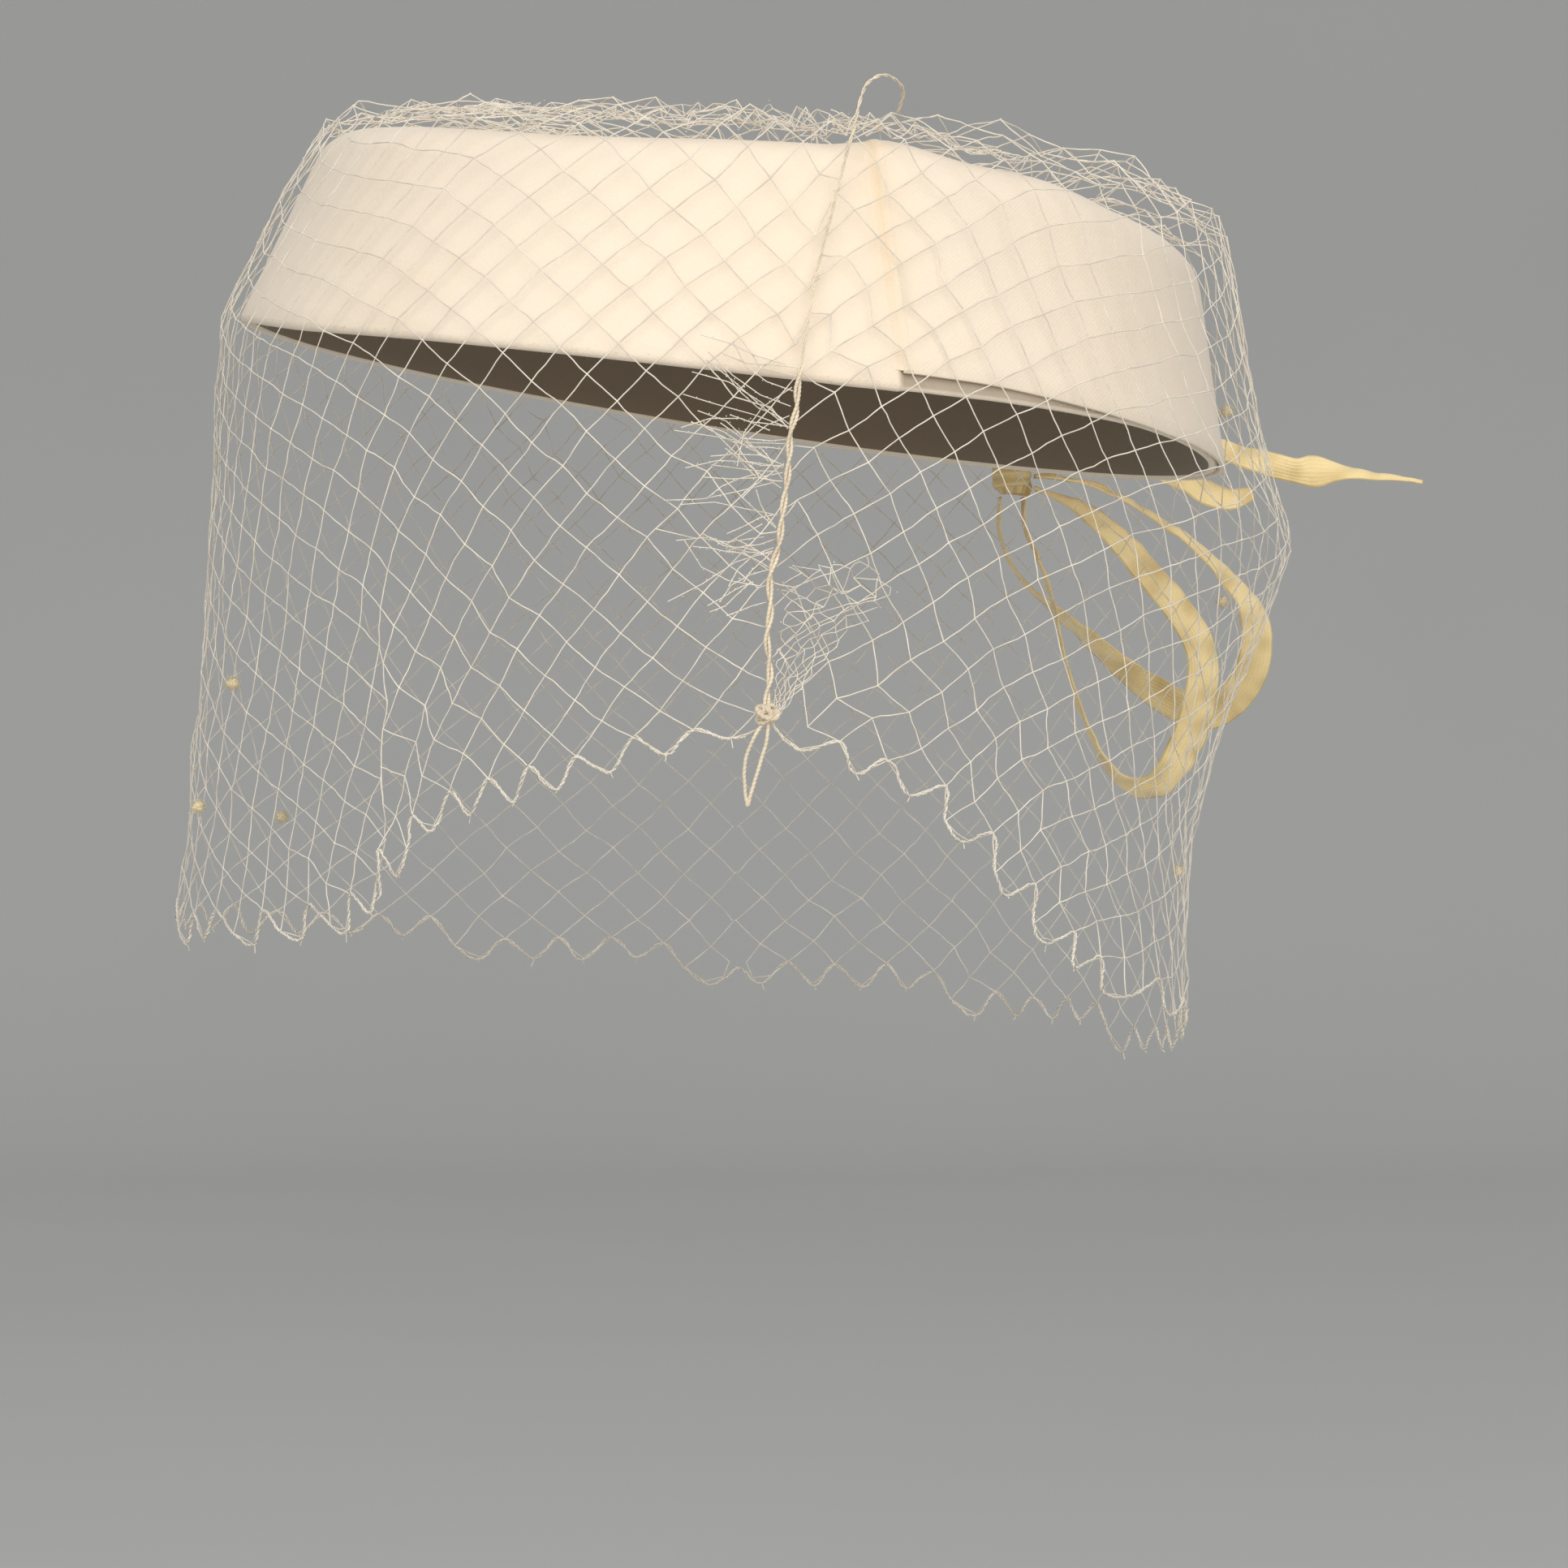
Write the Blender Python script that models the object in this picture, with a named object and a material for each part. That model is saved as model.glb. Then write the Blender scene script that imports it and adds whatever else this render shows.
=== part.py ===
"""A pillbox hat with a face veil, the veil's draw cord and a ribbon bow, at real size in metres.

+Z is up as the hat is worn, the front faces -Y and the wearer's left side is +X.
The origin is the centre of the rim's plane, where the hat sits on a head.
An azimuth is an angle round the crown, in degrees: 0 at the front, 90 at the wearer's left.
"""

import math
from collections import namedtuple

import bmesh
import bpy
from mathutils import Vector

MM = 0.001

# Clearances
GAP = 0.3 * MM  # between two pieces that touch on the real hat
VEIL_REST = 0.9 * MM  # from the crown's wall to the veil that lies on it

# How the hat sits: the crown leans towards the wearer's left
SIDE_TILT = math.radians(8.8)

# Crown
RIM_WIDTH = 171.4 * MM
RIM_DEPTH = 176 * MM
CROWN_HEIGHT = 35 * MM
WALL_LEAN = 10.8 * MM  # how far the wall comes in between the rim and the top edge
TOP_ROUNDING = 8 * MM
TOP_LIP = 5 * MM  # flat stretch of the band on top, inside its rounding
EDGE_WAVE = 4 * MM  # largest rise or dip of the rim and of the top edge
BAND_THICKNESS = 2.4 * MM
TIP_THICKNESS = 2 * MM
TIP_SAG = 1 * MM
CROWN_STEPS = 72

# Lapped panel over the band, from the front seam round the wearer's left to the back
LAP_THICKNESS = 1 * MM
LAP_PROUD = 0.4 * MM  # of the band's own outer face
LAP_LIFT = 2.6 * MM  # largest height of the panel's lower edge over the band's
LAP_STEPS = 32
SEAM_FOOT = 19.6  # azimuth of the front seam at the rim
SEAM_HEAD = 14.0  # and at the top edge
SEAM_BACK = 178.0
SEAM_VALLEY = 0.9  # width of the soft valley beside the seam, as an azimuth
SEAM_SPREAD = 40.0  # how far round the band the seam's slant fades out, as an azimuth

# Veil
VEIL_THICKNESS = 1 * MM
VEIL_COLUMNS = 16
VEIL_ROWS = 8
VEIL_BAR = 4.6 * MM
VEIL_LIFT = 7 * MM  # of the puffed net over the crown's top
VEIL_STAND_OFF = 7 * MM  # largest distance that the net stands out from the rim
EDGE_STAND_OFF = 0.4  # share of its stand-off that the net keeps at the crown's top edge
VEIL_BULGE = 10 * MM  # of the net just under the rim, at the wearer's left
HEM_DROP = 112 * MM  # from the origin down to the lowest point of the hem
HEM_RADIUS = 102 * MM  # of the furthest point of the hem
EDGE_LEVEL = 1.5  # row of the net that lies over the crown's top edge
RIM_LEVEL = 3.0  # row that lies at the rim

# Draw cord down the centre front
CORD_DIAMETER = 1.2 * MM
CORD_ARCH = 7 * MM
CORD_STEPS = 44
KNOT_WIDTH = 4.4 * MM
KNOT_DEPTH = 3.4 * MM
KNOT_HEIGHT = 3.6 * MM
TAIL_LENGTH = 13 * MM
TAIL_WIDTH = 3.2 * MM
TAIL_STEPS = 18

# Chenille dots on the net
DOT_DIAMETER = 3 * MM

# Ribbon bow at the back of the wearer's left side
RIBBON_WIDTH = 6.5 * MM
RIBBON_THICKNESS = 1 * MM
BOW_COLUMN = 13  # of the net, whose crossing at the rim the knot is tied to
BOW_KNOT_WIDTH = 8 * MM
BOW_KNOT_HEIGHT = 10 * MM
BOW_KNOT_ROUNDING = 2 * MM
BOW_REACH = 77 * MM  # from the knot to the tip of the long tail
BOW_DROP = 60 * MM  # from the knot to the foot of the lower loop
BOW_SWING = 14 * MM  # how far the ribbons swing to the front or the back of the knot
RIBBON_STEPS = 20

# Rise of the top edge and drop of the rim round the crown, as shares of EDGE_WAVE
EdgeRow = namedtuple("EdgeRow", "azimuth rim_drop top_rise")
CROWN_EDGES = (
    EdgeRow(-180, 0.0, 0.0),
    EdgeRow(-120, 0.0, 0.0),
    EdgeRow(-85, 0.1, -0.1),
    EdgeRow(-56, 0.75, -0.4),
    EdgeRow(-30, 0.8, -0.5),
    EdgeRow(-15, 0.7, -0.25),
    EdgeRow(0, 0.5, 0.2),
    EdgeRow(11, 0.3, 0.55),
    EdgeRow(19, 0.1, 1.0),
    EdgeRow(30, -0.15, 0.8),
    EdgeRow(43, -0.35, 0.85),
    EdgeRow(56, -0.42, 0.5),
    EdgeRow(90, 0.0, 0.1),
    EdgeRow(130, 0.0, 0.0),
)

# Height of the lapped panel's lower edge over the band's, as a share of LAP_LIFT
LapRow = namedtuple("LapRow", "azimuth lift")
LAP_EDGE = (
    LapRow(-180, 0.0),
    LapRow(0, 1.0),
    LapRow(25, 1.0),
    LapRow(42, 0.45),
    LapRow(56, 0.0),
    LapRow(120, 0.0),
)

# The net over the crown's top: reach as a share of the top's radius, lift as a share of VEIL_LIFT
TopRow = namedtuple("TopRow", "level reach lift")
VEIL_TOP = (
    TopRow(0.0, 0.19, 0.06),
    TopRow(0.5, 0.48, 0.8),
    TopRow(1.0, 0.77, 1.0),
    TopRow(EDGE_LEVEL, 1.012, 0.38),
)

# The hanging net round the hat: drop as a share of HEM_DROP, radius as a share of HEM_RADIUS,
# stand_off as a share of VEIL_STAND_OFF and bulge as a share of VEIL_BULGE
HangRow = namedtuple("HangRow", "azimuth drop radius stand_off bulge")
VEIL_HANG = (
    HangRow(-180, 0.92, 0.87, 0.1, 0.1),
    HangRow(-150, 0.87, 0.91, 0.15, 0.1),
    HangRow(-112, 0.83, 1.00, 0.25, 0.1),
    HangRow(-85, 0.82, 0.90, 0.2, 0.0),
    HangRow(-62, 0.80, 0.84, 0.1, 0.0),
    HangRow(-48, 0.79, 0.85, 0.0, 0.0),
    HangRow(-38, 0.75, 0.87, 0.0, 0.0),
    HangRow(-30, 0.65, 0.89, 0.0, 0.0),
    HangRow(-16, 0.58, 0.92, 0.0, 0.0),
    HangRow(3, 0.50, 0.935, 0.0, 0.0),
    HangRow(17, 0.58, 0.935, 0.0, 0.0),
    HangRow(24, 0.66, 0.925, 0.0, 0.05),
    HangRow(31, 0.78, 0.91, 0.05, 0.1),
    HangRow(40, 0.87, 0.88, 0.15, 0.25),
    HangRow(62, 0.93, 0.80, 0.75, 0.8),
    HangRow(90, 0.97, 0.755, 1.0, 1.0),
    HangRow(118, 1.00, 0.80, 0.8, 0.8),
    HangRow(145, 0.97, 0.86, 0.4, 0.3),
)

# How the bulge of the hanging net runs from the rim to the hem, as a share of its size
BulgeRow = namedtuple("BulgeRow", "depth bulge")
VEIL_PROFILE = (
    BulgeRow(0.0, 0.0),
    BulgeRow(0.13, 0.55),
    BulgeRow(0.35, 0.05),
    BulgeRow(0.62, -0.45),
    BulgeRow(0.85, -0.2),
    BulgeRow(1.0, 0.0),
)

# The draw cord's way over the net: level of the net, and height over it as a share of CORD_ARCH
CordRow = namedtuple("CordRow", "azimuth level height")
CORD_ROUTE = (
    CordRow(19.0, 1.15, 0.0),
    CordRow(18.0, 1.27, 0.55),
    CordRow(15.0, 1.38, 0.85),
    CordRow(12.0, 1.46, 0.6),
    CordRow(10.4, 1.55, 0.0),
    CordRow(9.4, 1.9, 0.0),
    CordRow(8.2, 2.4, 0.0),
    CordRow(7.7, 3.0, 0.0),
    CordRow(6.9, 3.7, 0.0),
    CordRow(5.9, 4.8, 0.0),
    CordRow(4.7, 6.0, 0.0),
    CordRow(3.9, 7.1, 0.0),
    CordRow(3.8, 7.75, 0.0),
)

# The dots by the columns and rows of the net's bars
DotRow = namedtuple("DotRow", "column level")
DOTS = (
    DotRow(9.5, 2.5),
    DotRow(10, 4),
    DotRow(9.5, 6.5),
    DotRow(-6, 6),
    DotRow(-7, 7),
    DotRow(-11, 7),
)

# Where the ribbons meet the knot, as the shares of reach and drop that the rows below use
KNOT_SIDE = (BOW_KNOT_WIDTH / 2 + GAP) / BOW_REACH
KNOT_UNDER = (BOW_KNOT_HEIGHT / 2 + GAP) / BOW_DROP
KNOT_SHELF = BOW_KNOT_HEIGHT / 8 / BOW_DROP  # half the height between two ribbons on its side
KNOT_SLOT = BOW_KNOT_WIDTH / 4 / BOW_REACH  # from its middle to each ribbon under it

# Ribbons from the knot: out and drop as shares of BOW_REACH and BOW_DROP, swing as a share of
# BOW_SWING (+ is to the back), width as a share of RIBBON_WIDTH. turn is the ribbon's twist in
# degrees: at 0 its edge faces the front, at 90 its face does
RibbonRow = namedtuple("RibbonRow", "out drop swing turn width")
LONG_TAIL = (
    RibbonRow(KNOT_SIDE, -3 * KNOT_SHELF, 0.0, 0, 0.9),
    RibbonRow(0.24, -0.10, 0.0, 20, 1.0),
    RibbonRow(0.44, -0.085, -0.1, 50, 1.0),
    RibbonRow(0.58, -0.03, -0.2, 60, 0.95),
    RibbonRow(0.68, 0.005, -0.2, 90, 0.7),
    RibbonRow(0.74, 0.01, -0.2, 75, 0.95),
    RibbonRow(0.82, 0.015, -0.2, 55, 0.45),
    RibbonRow(1.0, 0.045, -0.2, 40, 0.12),
)
SHORT_TAIL = (
    RibbonRow(KNOT_SIDE, -KNOT_SHELF, 0.0, 0, 0.9),
    RibbonRow(0.25, -0.02, 0.0, 15, 1.0),
    RibbonRow(0.41, 0.03, 0.0, 35, 1.0),
    RibbonRow(0.47, 0.07, 0.0, 50, 0.95),
    RibbonRow(0.53, 0.095, 0.0, 60, 0.75),
    RibbonRow(0.59, 0.075, 0.0, 70, 0.35),
)
OUTER_LOOP = (
    RibbonRow(KNOT_SIDE, KNOT_SHELF, 0.0, 0, 0.9),
    RibbonRow(0.22, 0.06, 0.0, 10, 1.0),
    RibbonRow(0.40, 0.20, -0.2, 20, 1.0),
    RibbonRow(0.54, 0.37, -0.3, 45, 1.0),
    RibbonRow(0.595, 0.50, -0.1, 75, 1.0),
    RibbonRow(0.58, 0.66, 0.3, 85, 1.0),
    RibbonRow(0.49, 0.76, 0.8, 80, 1.0),
    RibbonRow(0.35, 0.68, 1.15, 50, 1.0),
    RibbonRow(0.18, 0.50, 1.0, 20, 1.0),
    RibbonRow(0.03, 0.34, 0.45, 0, 1.0),
    RibbonRow(-KNOT_SLOT, 0.21, 0.08, 0, 1.0),
    RibbonRow(-KNOT_SLOT, KNOT_UNDER, 0.0, 0, 0.9),
)
INNER_LOOP = (
    RibbonRow(KNOT_SIDE, 3 * KNOT_SHELF, 0.0, 0, 0.9),
    RibbonRow(0.18, 0.13, -0.1, 30, 1.0),
    RibbonRow(0.33, 0.33, -0.4, 60, 1.0),
    RibbonRow(0.45, 0.55, -0.5, 75, 1.0),
    RibbonRow(0.45, 0.74, -0.4, 75, 1.0),
    RibbonRow(0.41, 0.89, -0.3, 70, 1.0),
    RibbonRow(0.34, 1.0, -0.2, 40, 1.0),
    RibbonRow(0.24, 0.94, -0.1, 10, 1.0),
    RibbonRow(0.15, 0.68, 0.0, 0, 1.0),
    RibbonRow(0.09, 0.36, 0.0, 0, 1.0),
    RibbonRow(0.04, 0.2, 0.0, 0, 1.0),
    RibbonRow(KNOT_SLOT, KNOT_UNDER, 0.0, 0, 0.9),
)

CREAM_CREPE = ("cream_crepe", (0.93, 0.84, 0.71, 1), 0.85)
CROWN_INSIDE = ("cream_crepe_tip", (0.90, 0.81, 0.67, 1), 0.9)
SILVER_NET = ("silver_net", (0.72, 0.68, 0.60, 1), 0.55)
COTTON_CORD = ("cotton_cord", (0.87, 0.78, 0.63, 1), 0.8)
CHENILLE = ("chenille", (0.78, 0.66, 0.44, 1), 0.95)
AGED_RIBBON = ("aged_ribbon", (0.80, 0.64, 0.36, 1), 0.6)


# Numbers


def mix(a, b, share):
    return a + (b - a) * share


def smooth_between(before, a, b, after, share):
    """A curve from a to b that also heeds the values on either side of them."""
    slope_a = (b - before) / 2
    slope_b = (after - a) / 2
    return (
        a
        + slope_a * share
        + (3 * (b - a) - 2 * slope_a - slope_b) * share**2
        + (slope_a + slope_b - 2 * (b - a)) * share**3
    )


def around(rows, azimuth, column):
    """Reads a column of a table that goes once round the hat."""
    azimuth = (azimuth + 180) % 360 - 180
    count = len(rows)
    here = max(k for k in range(count) if rows[k].azimuth <= azimuth)
    start = rows[here].azimuth
    end = rows[here + 1].azimuth if here + 1 < count else rows[0].azimuth + 360
    values = [getattr(rows[(here + k) % count], column) for k in (-1, 0, 1, 2)]
    return smooth_between(*values, (azimuth - start) / (end - start))


def along(rows, key, place, column):
    """Reads a column of a table at a place between its first and last rows, in straight steps."""
    here = 0
    while here < len(rows) - 2 and getattr(rows[here + 1], key) <= place:
        here += 1
    low, high = rows[here], rows[here + 1]
    share = (place - getattr(low, key)) / (getattr(high, key) - getattr(low, key))
    return mix(getattr(low, column), getattr(high, column), share)


def smooth_rows(rows, share):
    """A row read from a smooth curve through all the rows, at a share of its length."""
    place = share * (len(rows) - 1)
    here = min(int(place), len(rows) - 2)
    around_it = [rows[min(max(here + k, 0), len(rows) - 1)] for k in (-1, 0, 1, 2)]
    return type(rows[0])(*(smooth_between(*values, place - here) for values in zip(*around_it)))


# Scene and meshes


def clear_scene():
    for item in list(bpy.data.objects):
        bpy.data.objects.remove(item, do_unlink=True)


def material(finish):
    name, colour, roughness = finish
    found = bpy.data.materials.get(name)
    if found:
        return found
    made = bpy.data.materials.new(name)
    made.use_nodes = True
    shader = made.node_tree.nodes["Principled BSDF"]
    shader.inputs["Base Color"].default_value = colour
    shader.inputs["Roughness"].default_value = roughness
    shader.inputs["Metallic"].default_value = 0.0
    return made


def mesh_object(name, shape, finish, sharp_degrees=40):
    mesh = bpy.data.meshes.new(name)
    shape.to_mesh(mesh)
    shape.free()
    mesh.shade_smooth()
    mesh.set_sharp_from_angle(angle=math.radians(sharp_degrees))
    piece = bpy.data.objects.new(name, mesh)
    piece.data.materials.append(material(finish))
    bpy.context.scene.collection.objects.link(piece)
    return piece


def lofted(rings, closed):
    """A skin through rings of points, each ring closed. The rings close on the first, or get end caps."""
    shape = bmesh.new()
    made = [[shape.verts.new(point) for point in ring] for ring in rings]
    count = len(made)
    for k in range(count if closed else count - 1):
        ring, after = made[k], made[(k + 1) % count]
        for n in range(len(ring)):
            m = (n + 1) % len(ring)
            shape.faces.new((ring[n], ring[m], after[m], after[n]))
    if not closed:
        shape.faces.new(made[0])
        shape.faces.new(made[-1])
    bmesh.ops.recalc_face_normals(shape, faces=shape.faces)
    return shape


def thicken(piece, thickness, side):
    """Gives a surface its thickness, on the side that its faces point to (1) or to both sides (0)."""
    wall = piece.modifiers.new("wall", "SOLIDIFY")
    wall.thickness = thickness
    wall.offset = side
    wall.use_even_offset = True


def tube(name, points, diameter, finish):
    curve = bpy.data.curves.new(name, "CURVE")
    curve.dimensions = "3D"
    curve.bevel_depth = diameter / 2
    curve.bevel_resolution = 2
    curve.use_fill_caps = True
    spline = curve.splines.new("POLY")
    spline.points.add(len(points) - 1)
    for place, point in zip(spline.points, points):
        place.co = (*point, 1)
    piece = bpy.data.objects.new(name, curve)
    curve.materials.append(material(finish))
    bpy.context.scene.collection.objects.link(piece)
    return piece


def pebble(name, centre, size, finish, detail=2):
    shape = bmesh.new()
    bmesh.ops.create_icosphere(shape, subdivisions=detail, radius=0.5)
    for vert in shape.verts:
        vert.co = centre + Vector(a * b for a, b in zip(vert.co, size))
    return mesh_object(name, shape, finish, 80)


# Crown


def tilted(side, back, height):
    """A point of the crown's own frame, as the hat sits."""
    return Vector(
        (
            side * math.cos(SIDE_TILT) + height * math.sin(SIDE_TILT),
            back,
            height * math.cos(SIDE_TILT) - side * math.sin(SIDE_TILT),
        )
    )


def crown_point(azimuth, inset, height):
    """A point at this height, this far inside the rim's outline."""
    angle = math.radians(azimuth)
    side = (RIM_WIDTH / 2 - inset) * math.sin(angle)
    back = -(RIM_DEPTH / 2 - inset) * math.cos(angle)
    return tilted(side, back, height)


def rim_height(azimuth):
    return -EDGE_WAVE * around(CROWN_EDGES, azimuth, "rim_drop")


def edge_height(azimuth):
    return CROWN_HEIGHT + EDGE_WAVE * around(CROWN_EDGES, azimuth, "top_rise")


def top_height(azimuth, reach):
    """Height of the crown's top, which flattens from its wavy edge to its middle."""
    return mix(CROWN_HEIGHT - TIP_SAG, edge_height(azimuth), reach**2)


def corner_reach():
    """How far along the wall and the top the rounding between them reaches from their corner."""
    turn = math.pi / 2 - math.atan2(WALL_LEAN, CROWN_HEIGHT)
    return TOP_ROUNDING * math.tan(turn / 2)


def lip_inset():
    return WALL_LEAN + corner_reach() + TOP_LIP


def outer_section(azimuth, foot):
    """(inset, height) up the wall from this height, over the rounding and along the lip."""
    low, high = rim_height(azimuth), edge_height(azimuth)
    rise = Vector((WALL_LEAN, high - low)).normalized()
    corner = Vector((WALL_LEAN, high))
    start = corner - rise * corner_reach()
    turn = math.acos(min(1, rise.x))
    centre = start + Vector((rise.y, -rise.x)) * TOP_ROUNDING
    bottom = Vector((WALL_LEAN * (foot - low) / (high - low), foot))
    points = [bottom, bottom.lerp(start, 0.5)]
    for k in range(4):
        back = turn * k / 3
        spoke = start - centre
        turned = Vector(
            (
                spoke.x * math.cos(back) + spoke.y * math.sin(back),
                spoke.y * math.cos(back) - spoke.x * math.sin(back),
            )
        )
        points.append(centre + turned)
    points.append(Vector((lip_inset(), points[-1].y)))
    return points


def inward(points, distance):
    """The same run of points moved to the inner side of the wall."""
    moved = []
    for k, point in enumerate(points):
        run = points[min(k + 1, len(points) - 1)] - points[max(k - 1, 0)]
        moved.append(point + Vector((run.y, -run.x)).normalized() * distance)
    return moved


def seam_azimuth(height):
    share = min(max(height / CROWN_HEIGHT, 0), 1)
    return mix(SEAM_FOOT, SEAM_HEAD, share)


def band_station(azimuth, height):
    """Slants the stations of the band along the seam, less and less further from it."""
    middle = seam_azimuth(CROWN_HEIGHT / 2)
    near = max(0, 1 - abs(azimuth - middle) / SEAM_SPREAD)
    return azimuth + (seam_azimuth(height) - middle) * near


def band_stations():
    """(azimuth, whether the band is set back under the lapped panel)"""
    seam = seam_azimuth(CROWN_HEIGHT / 2)
    step = 360 / CROWN_STEPS
    special = (
        (seam - 2 * SEAM_VALLEY, 0),
        (seam - SEAM_VALLEY, 0),
        (seam - SEAM_VALLEY / 4, 1),
        (SEAM_BACK + SEAM_VALLEY / 4, 1),
        (SEAM_BACK + SEAM_VALLEY, 0),
    )
    plain = []
    for k in range(CROWN_STEPS):
        azimuth = -180 + step * (k + 0.5)
        if all(abs(azimuth - at) > step / 3 for at, _ in special):
            plain.append((azimuth, int(seam < azimuth < SEAM_BACK)))
    return sorted(plain + list(special))


def crown_band():
    setback = LAP_THICKNESS + GAP - LAP_PROUD
    half = BAND_THICKNESS / 2
    rings = []
    for azimuth, under_lap in band_stations():
        outer = outer_section(azimuth, rim_height(azimuth) + half)
        inner = inward(outer, BAND_THICKNESS)
        if under_lap:
            outer = inward(outer, setback)
        low = outer[0].lerp(inner[0], 0.5)
        round_rim = [
            low + Vector((0.35 * half, -0.85 * half)),
            low + Vector((-0.35 * half, -0.85 * half)),
        ]
        section = outer + inner[::-1] + round_rim
        rings.append([crown_point(band_station(azimuth, p.y), p.x, p.y) for p in section])
    return mesh_object("crown_band", lofted(rings, closed=True), CREAM_CREPE)


def lap_panel():
    rings = []
    for k in range(LAP_STEPS + 1):
        share = k / LAP_STEPS
        azimuth = mix(seam_azimuth(CROWN_HEIGHT / 2), SEAM_BACK, share)
        foot = rim_height(azimuth) + LAP_LIFT * around(LAP_EDGE, azimuth, "lift")
        face = outer_section(azimuth, foot + LAP_THICKNESS / 2)
        outer = inward(face, -LAP_PROUD)
        inner = inward(face, LAP_THICKNESS - LAP_PROUD)
        ring = []
        for point in outer + inner[::-1]:
            place = mix(seam_azimuth(point.y), SEAM_BACK, share)
            ring.append(crown_point(place, point.x, point.y))
        rings.append(ring)
    return mesh_object("lap_panel", lofted(rings, closed=False), CREAM_CREPE)


def crown_tip():
    """The top, set inside the band's lip."""
    shape = bmesh.new()
    reach_x = RIM_WIDTH / 2 - lip_inset() - GAP
    levels = (0.0, TIP_THICKNESS)
    shares = (0.62, 1.0)
    loops = {}
    for level in levels:
        for share in shares:
            ring = []
            for azimuth, _ in band_stations():
                reach = share * reach_x / (RIM_WIDTH / 2 - WALL_LEAN)
                height = top_height(azimuth, reach) - level
                inset = RIM_WIDTH / 2 - share * reach_x
                narrow = (RIM_DEPTH - RIM_WIDTH) / 2 * (1 - share)
                point = crown_point(band_station(azimuth, CROWN_HEIGHT), inset, height)
                point.y += narrow * math.cos(math.radians(azimuth))
                ring.append(shape.verts.new(point))
            loops[level, share] = ring
        loops[level, 0] = shape.verts.new(tilted(0, 0, CROWN_HEIGHT - TIP_SAG - level))
    count = len(band_stations())
    for n in range(count):
        m = (n + 1) % count
        for level in levels:
            inner, outer = loops[level, shares[0]], loops[level, shares[1]]
            shape.faces.new((inner[n], inner[m], outer[m], outer[n]))
            shape.faces.new((loops[level, 0], inner[m], inner[n]))
        top, under = loops[levels[0], 1.0], loops[levels[1], 1.0]
        shape.faces.new((top[n], top[m], under[m], under[n]))
    bmesh.ops.recalc_face_normals(shape, faces=shape.faces)
    return mesh_object("crown_tip", shape, CROWN_INSIDE)


# Veil


def outward(azimuth):
    angle = math.radians(azimuth)
    return Vector((math.sin(angle), -math.cos(angle), 0))


def wall_point(azimuth, share, out):
    """A point beside the crown's wall, at a share of its height and this far outside it."""
    height = mix(rim_height(azimuth), edge_height(azimuth), share)
    return crown_point(azimuth, WALL_LEAN * share - out, height)


def net_stand_off(azimuth, up_wall):
    """How far the net stands out from the crown, beyond its rest, at a share of the wall's height."""
    at_rim = VEIL_STAND_OFF * around(VEIL_HANG, azimuth, "stand_off")
    return at_rim * mix(1, EDGE_STAND_OFF, up_wall)


def veil_point(azimuth, level):
    """The inner face of the net: level 0 is the gather on top, VEIL_ROWS is the hem."""
    up_wall = min(max((RIM_LEVEL - level) / (RIM_LEVEL - EDGE_LEVEL), 0), 1)
    stand_off = net_stand_off(azimuth, up_wall)
    out = VEIL_REST + stand_off
    if level <= EDGE_LEVEL:
        reach = along(VEIL_TOP, "level", level, "reach")
        lift = VEIL_LIFT * along(VEIL_TOP, "level", level, "lift")
        share = reach**2
        height = top_height(azimuth, reach) + lift + stand_off * share
        angle = math.radians(azimuth)
        side = (RIM_WIDTH / 2 - WALL_LEAN) * reach + out * share
        back = (RIM_DEPTH / 2 - WALL_LEAN) * reach + out * share
        return tilted(side * math.sin(angle), -back * math.cos(angle), height)
    if level <= RIM_LEVEL:
        beside_edge = wall_point(azimuth, 1, VEIL_REST + net_stand_off(azimuth, 1))
        over_edge = veil_point(azimuth, EDGE_LEVEL) - beside_edge
        return wall_point(azimuth, up_wall, out) + over_edge * up_wall**2
    depth = (level - RIM_LEVEL) / (VEIL_ROWS - RIM_LEVEL)
    rim = wall_point(azimuth, 0, out)
    hem = outward(azimuth) * HEM_RADIUS * around(VEIL_HANG, azimuth, "radius")
    hem.z = -HEM_DROP * around(VEIL_HANG, azimuth, "drop")
    bulge = VEIL_BULGE * around(VEIL_HANG, azimuth, "bulge")
    bulge *= along(VEIL_PROFILE, "depth", depth, "bulge")
    return rim.lerp(hem, depth) + outward(azimuth) * bulge


def veil_normal(azimuth, level):
    turn, step = 0.5, 0.05
    across = veil_point(azimuth + turn, level) - veil_point(azimuth - turn, level)
    down = veil_point(azimuth, level + step) - veil_point(azimuth, level - step)
    return down.cross(across).normalized()


def over_veil(azimuth, level, height):
    """A point this far over the net's outer face."""
    return veil_point(azimuth, level) + veil_normal(azimuth, level) * (VEIL_THICKNESS + height)


def column_azimuth(column):
    return 180 * column / VEIL_COLUMNS


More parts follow.
